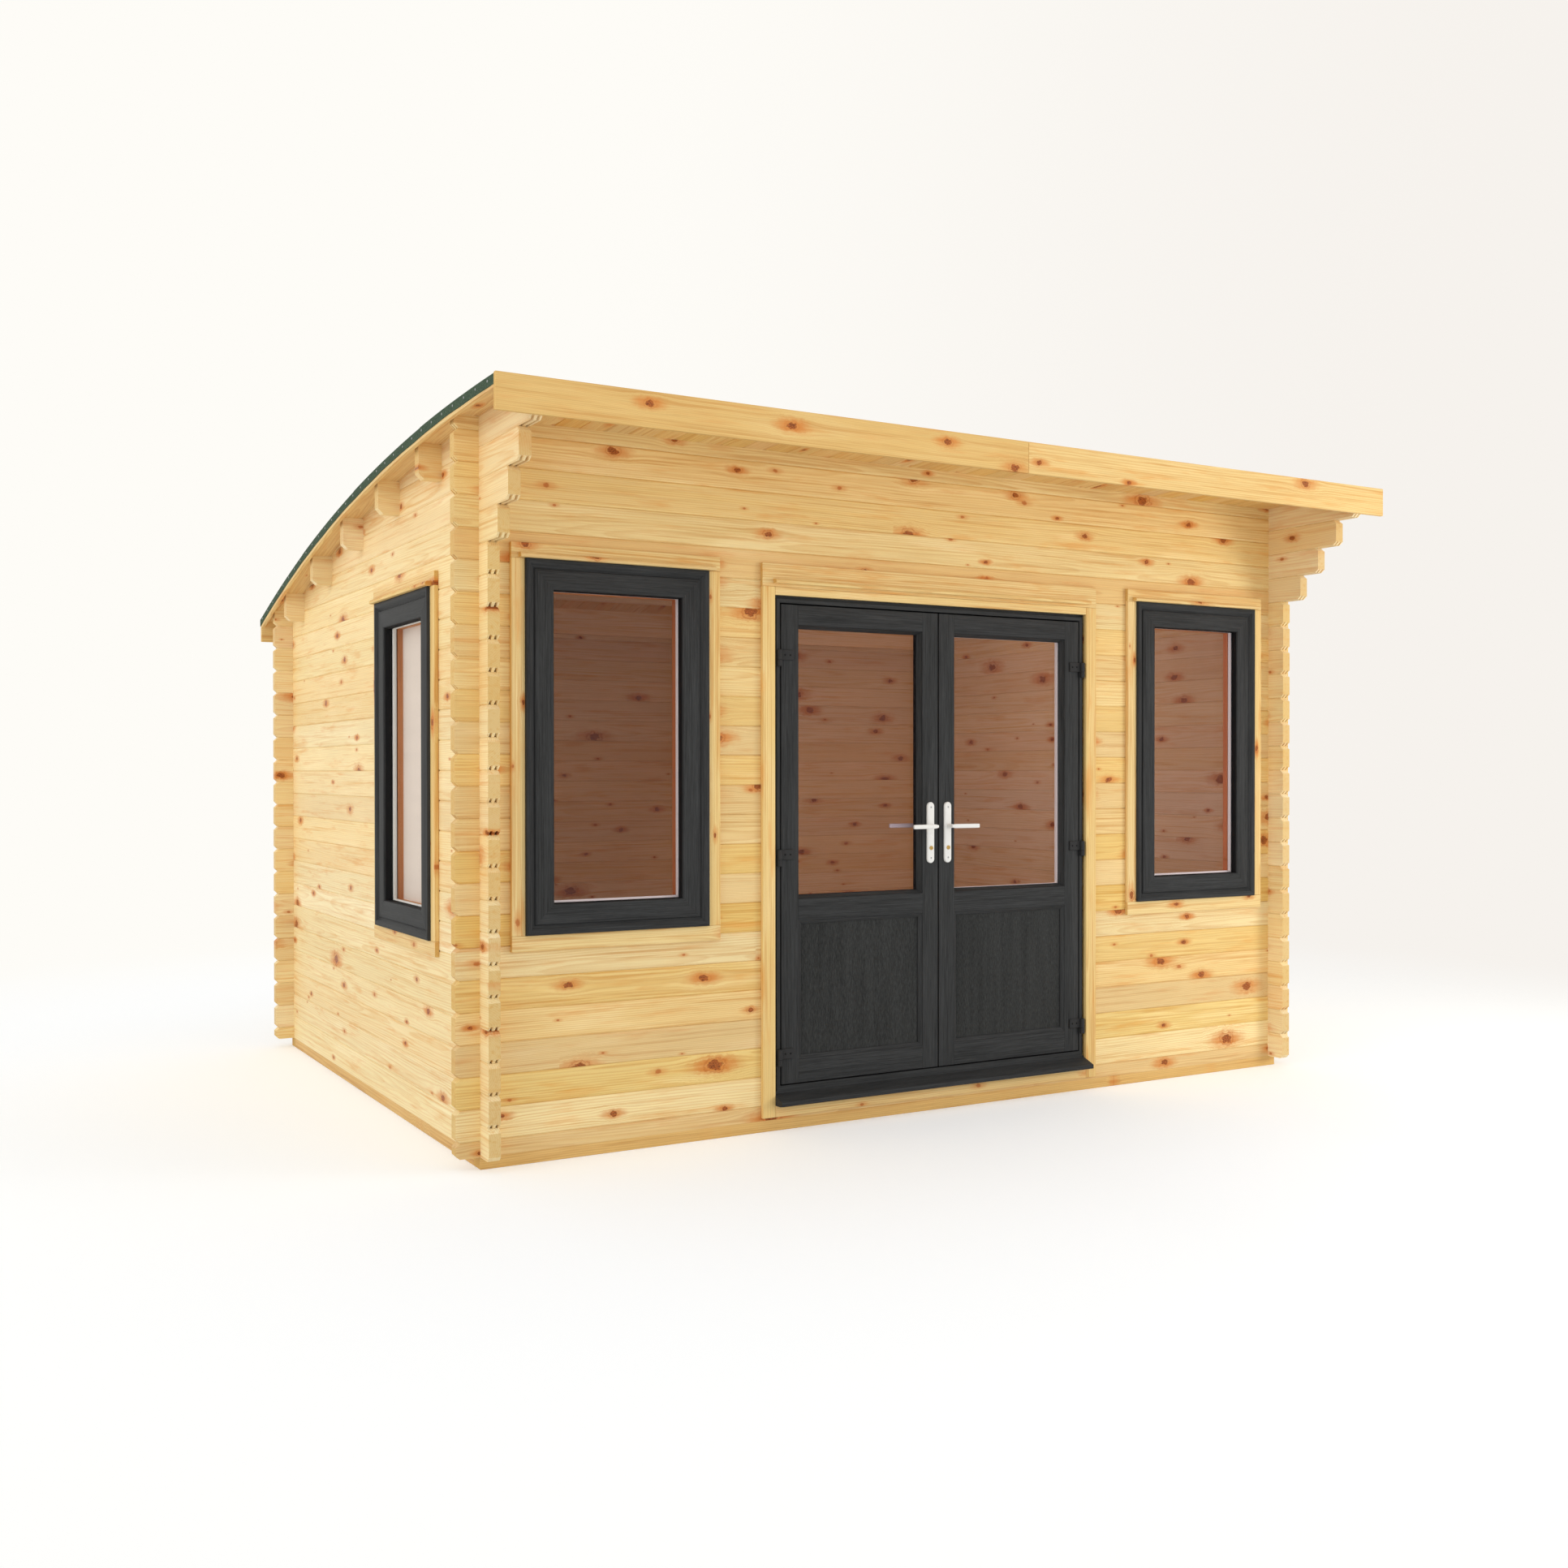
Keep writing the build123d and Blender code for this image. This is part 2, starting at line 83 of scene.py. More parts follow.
def draw(count):
    """So many seeds, drawn one after another."""
    return [dice.random() for _ in range(count)]


def roof_level(radius, y):
    """Height of the roof circle of this radius over the place y."""
    return CROWN + math.sqrt(radius ** 2 - (y - ROOF_FRONT) ** 2)


# ---------------------------------------------------------------- meshes
class Stock:
    """Gathers the closed pieces of one object, with what the wood shader reads from them."""

    def __init__(self):
        self.points = []
        self.grain = []
        self.seed = []
        self.width = []
        self.faces = []
        self.marks = []
        self.ends = []

    def sweep(self, rings, seed=0.0, width=0.1, mark=0):
        """One closed piece through rings of (point, grain) pairs. Equal points are merged."""
        known = {}
        rows = []
        start = len(self.points)
        for ring in rings:
            row = []
            for point, grain in ring:
                key = tuple(round(c * 200000) for c in point)
                if key not in known:
                    known[key] = len(self.points)
                    self.points.append(tuple(point))
                    self.grain.append(tuple(grain))
                    self.seed.append(seed)
                    self.width.append(width)
                row.append(known[key])
            rows.append(row)
        count = len(rows[0])
        faces = []
        for a, b in zip(rows, rows[1:]):
            for i in range(count):
                j = (i + 1) % count
                faces.append(([a[i], a[j], b[j], b[i]], 0.0))
        faces.append((rows[0][::-1], 1.0))
        faces.append((rows[-1], 1.0))
        kept = []
        for face, end in faces:
            clean = [p for i, p in enumerate(face) if p != face[i - 1]]
            if len(set(clean)) >= 3:
                kept.append((clean, end))
        centre = Vector(self.points[start])
        volume = 0.0
        for face, _ in kept:
            a = Vector(self.points[face[0]]) - centre
            for i in range(1, len(face) - 1):
                b = Vector(self.points[face[i]]) - centre
                c = Vector(self.points[face[i + 1]]) - centre
                volume += a.dot(b.cross(c))
        for face, end in kept:
            self.faces.append(face if volume > 0 else face[::-1])
            self.ends.append(end)
            self.marks.append(mark)

    def make(self, name, materials, nodes, slot, body="cabin", angle=32.0):
        """Turn what was gathered into an object that rides on a body and stands for nodes."""
        mesh = bpy.data.meshes.new(name)
        mesh.from_pydata(self.points, [], self.faces)
        layer = mesh.attributes.new("grain", "FLOAT_VECTOR", "POINT")
        layer.data.foreach_set("vector", [c for g in self.grain for c in g])
        for title, values in (("seed", self.seed), ("width", self.width)):
            layer = mesh.attributes.new(title, "FLOAT", "POINT")
            layer.data.foreach_set("value", values)
        layer = mesh.attributes.new("end", "FLOAT", "FACE")
        layer.data.foreach_set("value", self.ends)
        mesh.polygons.foreach_set("material_index", self.marks)
        mesh.polygons.foreach_set("use_smooth", [True] * len(self.faces))
        for material in materials:
            mesh.materials.append(material)
        mesh.update()
        mesh.set_sharp_from_angle(angle=math.radians(angle))
        piece = bpy.data.objects.new(name, mesh)
        bpy.context.scene.collection.objects.link(piece)
        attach(piece, body)
        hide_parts(*nodes)


def rounded(a0, a1, b0, b1, r):
    """A rectangle with rounded corners, as (a, b) points."""
    r = min(r, (a1 - a0) / 2.01, (b1 - b0) / 2.01)
    k = r * 0.293
    return [(a0, b0 + r), (a0 + k, b0 + k), (a0 + r, b0), (a1 - r, b0), (a1 - k, b0 + k), (a1, b0 + r),
            (a1, b1 - r), (a1 - k, b1 - k), (a1 - r, b1), (a0 + r, b1), (a0 + k, b1 - k), (a0, b1 - r)]


def spaced(start, stop, count):
    """Places from start to stop at equal distances."""
    return [start + (stop - start) * k / (count - 1) for k in range(count)]


def ring_points(a, b, radius, count=24):
    """Points round a circle."""
    turns = [2 * math.pi * i / count for i in range(count)]
    return [(a + radius * math.cos(t), b + radius * math.sin(t)) for t in turns]


def shrunk(profile, by):
    """The profile drawn in towards its middle by a small distance."""
    a = (min(p[0] for p in profile) + max(p[0] for p in profile)) / 2
    b = (min(p[1] for p in profile) + max(p[1] for p in profile)) / 2
    ha = max(p[0] for p in profile) - a
    hb = max(p[1] for p in profile) - b
    return [(a + (p[0] - a) * (1 - by / ha), b + (p[1] - b) * (1 - by / hb)) for p in profile]


def run(stock, profile, place, u0, u1, seed, width, ease=0.0015):
    """A profile of (v, w) points run from u0 to u1, with eased ends."""
    stations = [(u0, profile), (u1, profile)]
    if ease:
        small = shrunk(profile, ease)
        stations = [(u0, small), (u0 + ease, profile), (u1 - ease, profile), (u1, small)]
    stock.sweep([[(place(u, v, w), (u, v, w)) for v, w in outline] for u, outline in stations], seed, width)


def upright(stock, put, levels, mark=0):
    """A closed piece through level outlines of (x, y) points, given as (height, outline)."""
    stock.sweep([[(put(x, y, z), (x, y, z)) for x, y in outline] for z, outline in levels], mark=mark)


# ---------------------------------------------------------------- shader building
def tone(red, green, blue):
    """A colour given as it shows on screen, 0 to 255."""
    def linear(c):
        c /= 255.0
        return c / 12.92 if c <= 0.04045 else ((c + 0.055) / 1.055) ** 2.4
    return (linear(red), linear(green), linear(blue), 1.0)


class Term:
    """A socket that can be used in sums."""

    def __init__(self, net, socket):
        self.net = net
        self.socket = socket

    def __add__(self, other):
        return self.net.math("ADD", self, other)

    def __radd__(self, other):
        return self.net.math("ADD", other, self)

    def __sub__(self, other):
        return self.net.math("SUBTRACT", self, other)

    def __rsub__(self, other):
        return self.net.math("SUBTRACT", other, self)

    def __mul__(self, other):
        return self.net.math("MULTIPLY", self, other)

    def __rmul__(self, other):
        return self.net.math("MULTIPLY", other, self)

    def __truediv__(self, other):
        return self.net.math("DIVIDE", self, other)

    def __pow__(self, other):
        return self.net.math("POWER", self, other)


class Net:
    """The node tree of a material or world, built node by node."""

    def __init__(self, owner):
        self.owner = owner
        owner.use_nodes = True
        self.tree = owner.node_tree
        self.tree.nodes.clear()

    def node(self, kind, inputs=(), **settings):
        made = self.tree.nodes.new(kind)
        for key, value in settings.items():
            setattr(made, key, value)
        for key, value in dict(inputs).items():
            socket = made.inputs[key]
            if isinstance(value, Term):
                self.tree.links.new(value.socket, socket)
            else:
                socket.default_value = value
        return made

    def term(self, node, key=0):
        return Term(self, node.outputs[key])

    def math(self, operation, a, b=0.0):
        return self.term(self.node("ShaderNodeMath", {0: a, 1: b}, operation=operation))

    def length(self, a, b):
        return self.math("SQRT", a * a + b * b)

    def ramp(self, x, low, high, out_low=0.0, out_high=1.0):
        made = self.node("ShaderNodeMapRange", {0: x, 1: low, 2: high, 3: out_low, 4: out_high},
                         interpolation_type="SMOOTHSTEP")
        return self.term(made)

    def attribute(self, name, output="Fac"):
        return self.term(self.node("ShaderNodeAttribute", attribute_name=name), output)

    def split(self, vector):
        made = self.node("ShaderNodeSeparateXYZ", {0: vector})
        return [self.term(made, k) for k in range(3)]

    def join(self, x, y, z):
        return self.term(self.node("ShaderNodeCombineXYZ", {0: x, 1: y, 2: z}))

    def noise(self, vector, scale=1.0, detail=2.0, roughness=0.5, output=0):
        if isinstance(vector, tuple):
            vector = self.join(*vector)
        made = self.node("ShaderNodeTexNoise", {"Vector": vector, "Scale": scale, "Detail": detail,
                                                "Roughness": roughness})
        return self.term(made, output)

    def chance(self, x):
        """Three numbers from 0 to 1 that belong to x."""
        made = self.node("ShaderNodeTexWhiteNoise", {"W": x}, noise_dimensions="1D")
        return self.parts(self.term(made, "Color"))

    def parts(self, colour):
        made = self.node("ShaderNodeSeparateColor", {0: colour})
        return [self.term(made, k) for k in range(3)]

    def mix(self, share, a, b):
        return self.term(self.node("ShaderNodeMix", {0: share, 6: a, 7: b}, data_type="RGBA"), 2)

    def shade(self, colour, hue, saturation, value):
        made = self.node("ShaderNodeHueSaturation", {"Hue": hue, "Saturation": saturation, "Value": value,
                                                     "Color": colour})
        return self.term(made)

    def bump(self, height, distance, strength):
        return self.term(self.node("ShaderNodeBump", {"Height": height, "Distance": distance, "Strength": strength}))

    def shader(self, kind, **inputs):
        """A shader's output. Underscores in the names of its inputs stand for spaces."""
        return self.term(self.node("ShaderNode" + kind, {k.replace("_", " "): v for k, v in inputs.items()}))

    def blend(self, share, a, b):
        return self.term(self.node("ShaderNodeMixShader", {0: share, 1: a, 2: b}))

    def surface(self, colour, rough, normal, specular, **more):
        """The finished material of a surface that isn't glass."""
        return self.finish(self.shader("BsdfPrincipled", Base_Color=colour, Roughness=rough, Normal=normal,
                                       Specular_IOR_Level=specular, **more))

    def finish(self, shader, kind="Material"):
        self.node("ShaderNodeOutput" + kind, {0: shader})
        return self.owner


    def object_place(self):
        return self.term(self.node("ShaderNodeTexCoord"), "Object")

    def facing(self):
        return self.term(self.node("ShaderNodeLayerWeight", {"Blend": 0.5}), "Facing")


def new_net(name):
    return Net(bpy.data.materials.new(name))


def knots(net, u, v, width, shift, spacing, small, large, share):
    """Nearest knot along the piece, as distances in its own radii, and how far off the grain bends."""
    place = u / spacing + shift
    cell = net.node("ShaderNodeTexVoronoi", {"W": place, "Scale": 1.0, "Randomness": 0.95},
                    voronoi_dimensions="1D")
    r, g, b = net.parts(net.term(cell, "Color"))
    along = (place - net.term(cell, "W")) * spacing
    across = v - (r * 1.06 - 0.03) * width
    size = small + g ** 1.3 * (large - small)
    there = net.ramp(b, share, share + 0.01, 1.0, 0.0)
    warp = net.noise((u * 38.0, v * 52.0, shift), detail=3.0, roughness=0.6, output="Color")
    warp_u, warp_v, _ = net.parts(warp)
    wave_u = (warp_u - 0.5) * size * 1.5
    wave_v = (warp_v - 0.5) * size * 1.3
    core = net.length((along + wave_u) / 1.55, across + wave_v) / size
    halo = net.length((along + wave_u) / 3.0, (across + wave_v) / 1.1) / size
    other = net.math("FRACT", g * 7.31)
    return core, halo, across, there, other


def wood(name, base, deep, pale, knot_share=0.66, spread=1.0, strength=1.0, spacing=0.62, knot_strength=1.0):
    """Planed pine: growth rings, streaks and fibres, knots with halos, and a tone of its own for each piece."""
    net = new_net(name)
    u, v, w = net.split(net.attribute("grain", "Vector"))
    seed = net.attribute("seed")
    width = net.attribute("width")
    end = net.attribute("end")
    body = 1.0 - end
    one, two, three = net.chance(seed * 917.0)
    four, five, six = net.chance(seed * 389.0 + 4.0)

    core, halo, across, there, other = knots(net, u, v, width, seed * 91.0, spacing, 0.0100, 0.0350, knot_share)
    pin_core, pin_halo, _, pin_there, _ = knots(net, u, v, width, seed * 53.0 + 11.0, spacing * 0.7, 0.0030,
                                                0.0110, 0.34)
    near = (1.0 - net.ramp(halo, 0.1, 2.4)) * there
    v_bent = v - across * near * 0.8

    # rings of the tree, cut nearly along it
    drift = net.noise((u * 0.8, v * 3.0, seed * 31.0), detail=1.0) - 0.5
    middle = width * (one * 1.8 - 0.4)
    heart = w + 0.012 + two * 0.05 + drift * 0.05 + (u * (three - 0.5)) * 0.022
    ring = net.length(v_bent - middle, heart) / (0.0052 + 0.0030 * four)
    ring = ring + (net.noise((u * 2.6, v * 22.0, seed * 17.0), detail=2.0) - 0.5) * 1.2
    part = net.math("FRACT", ring)
    late = net.ramp(part, 0.30, 0.90) * (1.0 - net.ramp(part, 0.92, 1.0))

    fibre = net.noise((u * 6.0, v_bent * 420.0, w * 420.0 + seed * 70.0), detail=3.0, roughness=0.6)
    streak = net.noise((u * 1.5, v_bent * 62.0, w * 50.0 + seed * 40.0), detail=4.0, roughness=0.62)
    line = net.noise((u * 1.0, v_bent * 130.0, w * 90.0 + seed * 23.0), detail=2.0, roughness=0.5)
    cloud = net.noise((u * 1.6, v * 9.0, seed * 60.0), detail=3.0, roughness=0.6)
    patch = net.noise((u * 3.4, v * 26.0, seed * 80.0 + 5.0), detail=3.0, roughness=0.6)

    colour = net.mix(two ** 1.8 * (0.90 * spread) + net.ramp(cloud, 0.50, 0.75) * 0.35, base, pale)
    colour = net.mix(five ** 2.5 * (0.40 * spread), colour, tone(228, 180, 100))
    colour = net.mix(late * (0.34 * strength), colour, deep)
    colour = net.mix(net.ramp(streak, 0.50, 0.72) * (0.58 * strength), colour, deep)
    colour = net.mix(net.ramp(line, 0.56, 0.76) * (0.38 * strength), colour, deep)
    colour = net.mix(net.ramp(patch, 0.52, 0.78) * (0.55 * strength), colour, tone(226, 160, 84))
    value = 1.0 + (fibre - 0.5) * (0.24 * strength) + (cloud - 0.5) * 0.14 + (one - 0.5) * (0.10 * spread)
    hue = 0.5 + (six - 0.5) * (0.006 * spread)
    vivid = 1.0 + (four - 0.5) * (0.14 * spread) + end * 0.08
    value = value * (1.0 - end * 0.13)
    colour = net.shade(colour, hue, vivid, value)
    colour = net.mix(end * 0.45, colour, tone(216, 172, 98))

    orange = tone(214, 130, 54)
    red = tone(182, 96, 38)
    dark = tone(116, 56, 20)
    smear = net.ramp(streak, 0.30, 0.62)
    warm = (1.0 - net.ramp(halo, 0.45, 1.60)) * there * (0.50 + smear * 0.50)
    colour = net.mix(warm * (0.86 * knot_strength), colour, orange)
    soft_ring = net.ramp(core, 0.74, 0.86) * (1.0 - net.ramp(core, 0.88, 1.04)) * there
    colour = net.mix(soft_ring * (0.15 + other * 0.45) * knot_strength, colour, red)
    inside = (1.0 - net.ramp(core, 0.50, 0.72)) * there
    eye = net.noise((u * 150.0, v * 260.0, seed), detail=3.0)
    colour = net.mix(inside * (0.93 * knot_strength), colour, net.mix(net.ramp(eye, 0.36, 0.64), dark, red))
    pin_warm = (1.0 - net.ramp(pin_halo, 0.4, 2.2)) * pin_there * body
    pin_inside = (1.0 - net.ramp(pin_core, 0.55, 1.15)) * pin_there * body
    colour = net.mix(pin_warm * (0.50 * knot_strength), colour, orange)
    colour = net.mix(pin_inside * (0.75 * knot_strength), colour, red)

    height = late * 0.35 + fibre * 0.35 + streak * 0.3 - inside * 0.5
    normal = net.bump(height, 0.0006, 0.5)
    rough = 0.56 + (fibre - 0.5) * 0.16 - inside * 0.12
    return net.surface(colour, rough, normal, 0.3)


def coated(name, colour, strength=1.0, along=5.0):
    """Dark foil with a shallow timber emboss that follows each member."""
    net = new_net(name)
    u, v, w = net.split(net.attribute("grain", "Vector"))
    seed = net.attribute("seed")
    lines = net.noise((u * along, v * 260.0, w * 260.0 + seed * 40.0), detail=4.0, roughness=0.65)
    broad = net.noise((u * 2.2, v * 30.0, w * 30.0 + seed * 20.0), detail=2.0)
    pores = net.noise((u * 26.0, v * 900.0, w * 900.0), detail=2.0)
    value = 1.0 + (lines - 0.5) * (2.0 * strength) + (broad - 0.5) * 0.7 + (pores - 0.5) * (0.9 * strength)
    shaded = net.shade(colour, 0.5, 1.0, value)
    height = lines * 0.6 + pores * 0.4
    normal = net.bump(height, 0.0008, 0.7 * strength)
    rough = 0.55 + (lines - 0.5) * 0.25
    return net.surface(shaded, rough, normal, 0.12)


def plain(name, colour, rough, metal=0.0, speck=0.06, bump=0.0002, specular=0.5):
    """Moulded or metal pieces: faint mottling and fine surface bumps."""
    net = new_net(name)
    where = net.object_place()
    fine = net.noise(where, scale=840.0, detail=3.0)
    broad = net.noise(where, scale=16.8, detail=3.0)
    value = 1.0 + (broad - 0.5) * speck * 2.0 + (fine - 0.5) * speck
    shaded = net.shade(colour, 0.5, 1.0, value)
    normal = net.bump(fine, bump, 0.5)
    roughness = rough + (broad - 0.5) * 0.12
    return net.surface(shaded, roughness, normal, specular, Metallic=metal)


def roofing():
    """Green mineral felt: coarse granules with lighter and darker grains."""
    net = new_net("felt_green")
    where = net.object_place()
    grit = net.node("ShaderNodeTexVoronoi", {"Vector": where, "Scale": 620.0})
    grain = net.term(grit, "Distance")
    kind = net.split(net.term(grit, "Color"))[0]
    patch = net.noise(where, scale=2.3, detail=4.0)
    streak = net.noise(where, scale=26.0, detail=2.0)
    colour = net.mix(net.ramp(kind, 0.2, 0.9), tone(45, 64, 50), tone(86, 106, 84))
    value = 0.92 + (patch - 0.5) * 0.30 + (streak - 0.5) * 0.16
    colour = net.shade(colour, 0.5, 1.0, value)
    normal = net.bump(1.0 - grain, 0.0009, 0.8)
    return net.surface(colour, 0.88, normal, 0.25)


def glazing(name, tint, gloss_tint, reach):
    """Clear glass: mostly seen through, and more of a mirror at a low angle."""
    net = new_net(name)
    share = net.math("MINIMUM", net.facing() ** 3.0 * reach + 0.008, 1.0)
    clear = net.shader("BsdfTransparent", Color=tint)
    gloss = net.shader("BsdfGlossy", Color=gloss_tint, Roughness=0.02)
    return net.finish(net.blend(share, clear, gloss))


def glass_with_painted_reflection(name, tint, reflection_tone, reach):
    """Glass with a painted reflection: a pale diffuse sheet takes over at a low angle, in place of the reflection of
    the bright surroundings.
    """
    net = new_net(name)
    share = net.math("MINIMUM", net.facing() ** 3.0 * reach + 0.04, 0.96)
    where = net.object_place()
    x, y, z = net.split(where)
    reflection_mottle = net.noise((x * 2.0, y * 2.0, z * 26.0), detail=3.0)
    pale = net.shade(reflection_tone, 0.5, 1.0, 0.98 + (reflection_mottle - 0.5) * 0.10)
    clear = net.shader("BsdfTransparent", Color=tint)
    reflection_sheet = net.shader("BsdfDiffuse", Color=pale, Roughness=0.3)
    return net.finish(net.blend(share, clear, reflection_sheet))


pine = wood("pine", tone(236, 203, 132), tone(206, 147, 72), tone(249, 230, 178))
# A paler, less saturated copy of the pine for the side walls, back wall, gables and purlins: painted light of the more
# brightly lit left wall.
pine_painted_sunlit = wood("pine_painted_sunlit", tone(247, 225, 171), tone(224, 172, 100), tone(253, 240, 202), spread=0.85,
                 strength=0.95, spacing=0.78)
pine_trim = wood("pine_trim", tone(237, 208, 142), tone(206, 146, 72), tone(248, 228, 176), knot_share=0.40,
                 spread=0.6, strength=1.15)
pine_fascia = wood("pine_fascia", tone(230, 188, 112), tone(204, 144, 68), tone(240, 212, 148), knot_share=0.6,
                   spread=0.4)
pine_roof = wood("pine_roof", tone(231, 194, 124), tone(200, 140, 68), tone(240, 214, 154), knot_share=0.5)
treated = wood("treated", tone(222, 184, 116), tone(186, 130, 64), tone(232, 200, 140), knot_share=0.5)
inner_frame = wood("inner_frame", tone(226, 138, 64), tone(186, 102, 44), tone(234, 150, 80), knot_share=0.1,
                   strength=0.8, knot_strength=0.5)
anthracite = coated("anthracite", tone(54, 55, 56))
anthracite_panel = coated("anthracite_panel", tone(50, 51, 51), strength=1.1, along=55.0)
# Black for the window rubber, the keyholes, the hinge screws and the left leaf's spacer; on the rubber and the keyholes
# it is painted shade of the deep reveal and of the hole.
seal_and_painted_shade = plain("seal_and_painted_shade", tone(20, 20, 22), 0.7, speck=0.1, specular=0.2)
spacer = plain("spacer", tone(252, 251, 246), 0.4, speck=0.02)
white = plain("white_lacquer", tone(236, 236, 234), 0.28, speck=0.03, bump=0.00008)
brass = plain("brass", tone(206, 170, 98), 0.32, metal=1.0)
hinge_metal = plain("hinge_metal", tone(47, 47, 48), 0.5, specular=0.2)
steel = plain("steel", tone(170, 172, 174), 0.4, metal=1.0)
felt = roofing()
glass = glazing("glass", tone(250, 247, 249), tone(246, 238, 234), 0.12)
glass_side = glazing("glass_side", tone(254, 254, 254), tone(246, 238, 234), 0.02)
# The side window's third sheet: a painted reflection, pale at a low angle where the glass would mirror the bright
# surroundings.
glass_painted_reflection = glass_with_painted_reflection("glass_painted_reflection", tone(252, 250, 250), tone(238, 224, 212), 2.6)


# ---------------------------------------------------------------- logs
NOTCH = 0.0155          # chamfer of a log's end
HOLE = 0.0140           # height of the grooves under a log
STATION = 0.08          # between the stations of a log that follows the roof


def log_outline(z0, z1, foot):
    """One log across the wall as (depth, height): V edges outside, finer ones inside, tongues and grooves."""
    gap = 0.0002
    points = []
    if foot:
        points += [(0.0041, z0 + gap), (0.0013, z0 + 0.0029), (0.0004, z0 + 0.0044), (0.0, z0 + 0.0062)]
    else:
        points += [(0.0, z0)]
    points += [(0.0, z0 + 0.012), (0.0, z1 - 0.012)]
    points += [(0.0, z1 - 0.0062), (0.0004, z1 - 0.0044), (0.0013, z1 - 0.0029), (0.0041, z1 - gap)]
    for d in (0.012, 0.032):
        points += [(d - 0.0036, z1 - gap), (d - 0.0030, z1 + 0.002), (d + 0.0030, z1 + 0.002), (d + 0.0036, z1 - gap)]
    points += [(WALL - 0.0030, z1 - gap), (WALL, z1 - 0.0035)]
    if foot:
        points += [(WALL, z0 + 0.0035), (WALL - 0.0030, z0 + gap)]
        for d in (0.032, 0.012):
            points += [(d + 0.0050, z0 + gap), (d + 0.0032, z0 + HOLE), (d - 0.0032, z0 + HOLE),
                       (d - 0.0050, z0 + gap)]
    else:
        points += [(WALL, z0)]
    return points


def lay_log(stock, place, z0, z1, u0, u1, seed, tips, gaps=(), foot=True, curved=False):
    """One log from u0 to u1. In a gap (from, to, low, high) it only reaches from low to high."""
    outline = log_outline(z0, z1, foot)
    top = z1 + HOLE
    stations = []
    if tips[0]:
        stations += [(u0, z0 + NOTCH, z1 - NOTCH), (u0 + NOTCH, z0, z1), (u0 + NOTCH + 0.002, z0, top)]
    else:
        stations += [(u0, z0, top)]
    for a, b, low, high in gaps:
        stations += [(a, z0, top), (a, low, high), (b, low, high), (b, z0, top)]
    if curved:
        k = 1
        inner = []
        while u0 + STATION * k < u1 - STATION * 0.5:
            u = u0 + STATION * k
            reach = [(low, high) for a, b, low, high in gaps if a < u < b] or [(z0, top)]
            inner.append((u, *reach[-1]))
            k += 1
        stations += [s for s in inner if all(abs(s[0] - t[0]) > 0.01 for t in stations)]
        stations.sort(key=lambda s: s[0])
    if tips[1]:
        stations += [(u1 - NOTCH - 0.002, z0, top), (u1 - NOTCH, z0, z1), (u1, z0 + NOTCH, z1 - NOTCH)]
    else:
        stations += [(u1, z0, top)]
    rings = []
    for u, low, high in stations:
        ring = []
        for d, z in outline:
            z = min(max(z, low), high)
            point = place(u, d, z)
            z = min(z, roof_level(UNDER_RADIUS, point[1]))
            ring.append(((point[0], point[1], z), (u, z - z0, d)))
        rings.append(ring)
    stock.sweep(rings, seed, z1 - z0)


def opening_parts(z0, z1, u0, u1, openings):
    """Where openings take all of a row the row is split, and elsewhere they are gaps in it."""
    runs = [(u0, u1, [])]
    for a, b, low, high in openings:
        if high <= z0 or low >= z1:
            continue
        after = []
        for r0, r1, gaps in runs:
            if not (r0 < a < r1):
                after.append((r0, r1, gaps))
            elif low <= z0 and high >= z1:
                after.append((r0, a, [g for g in gaps if g[0] < a]))
                after.append((b, r1, [g for g in gaps if g[0] > b]))
            elif low > z0:
                after.append((r0, r1, gaps + [(a, b, z0, low)]))
            else:
                after.append((r0, r1, gaps + [(a, b, high, z1 + HOLE)]))
        runs = after
    return runs


def on_front(u, d, z):
    return (u, FRONT + d, z)


def on_back(u, d, z):
    return (u, BACK - d, z)


def on_left(u, d, z):
    return (-SIDE + d, u, z)


def on_right(u, d, z):
    return (SIDE - d, u, z)


def cross_wall(place, openings):
    """Front or back wall: half a log at the bottom, then whole ones up to the roof."""
    stock = Stock()
    rows = [(BEARER, BEARER + PITCH / 2, False)]
    z = BEARER + PITCH / 2
    while z < roof_level(UNDER_RADIUS, place(0, 0.022, 0)[1]) - 0.004:
        rows.append((z, z + PITCH, True))
        z += PITCH
    for z0, z1, foot in rows:
        seed = dice.random()
        for a, b, gaps in opening_parts(z0, z1, -SIDE - END, SIDE + END, openings):
            tips = (a == -SIDE - END, b == SIDE + END)
            lay_log(stock, place, z0, z1, a, b, seed, tips, sorted(gaps), foot)
    return stock


def side_wall(place, openings):
    """Lower part of a side wall."""
    stock = Stock()
    for k in range(COURSES):
        z0 = BEARER + k * PITCH
        seed = dice.random()
        for a, b, gaps in opening_parts(z0, z0 + PITCH, FRONT - END, BACK + END, openings):
            tips = (a == FRONT - END, b == BACK + END)
            lay_log(stock, place, z0, z0 + PITCH, a, b, seed, tips, sorted(gaps), foot=k > 0,
                    curved=k == COURSES - 1)
    return stock


def gable(place):
    """Upper part of a side wall: each log reaches further out under the curved roof."""
    stock = Stock()
    for k in range(GABLE_COURSES):
        z0 = GABLE_BASE + k * PITCH
        start = FRONT - END - CORBEL * (k + 1)
        cut = ROOF_FRONT + math.sqrt(UNDER_RADIUS ** 2 - (z0 + 0.001 - CROWN) ** 2)
        stop = min(BACK - WALL, cut)
        lay_log(stock, place, z0, z0 + PITCH, start, stop, dice.random(), (True, False), curved=True)
    return stock


FIT = 0.005             # play round the windows and the door frame
WIN_W, WIN_H = 0.734, 1.350
WIN_X = 1.449
WIN_Z = 0.821
SIDE_WIN_Z = 0.764
SIDE_WIN_Y = 0.881
half_hole = WIN_W / 2 + FIT
DOOR_W, DOOR_HEAD, DOOR_SILL = 1.576, 2.097, 0.146
door_half = DOOR_W / 2 + FIT
DOOR_BOTTOM = BEARER + PITCH / 2

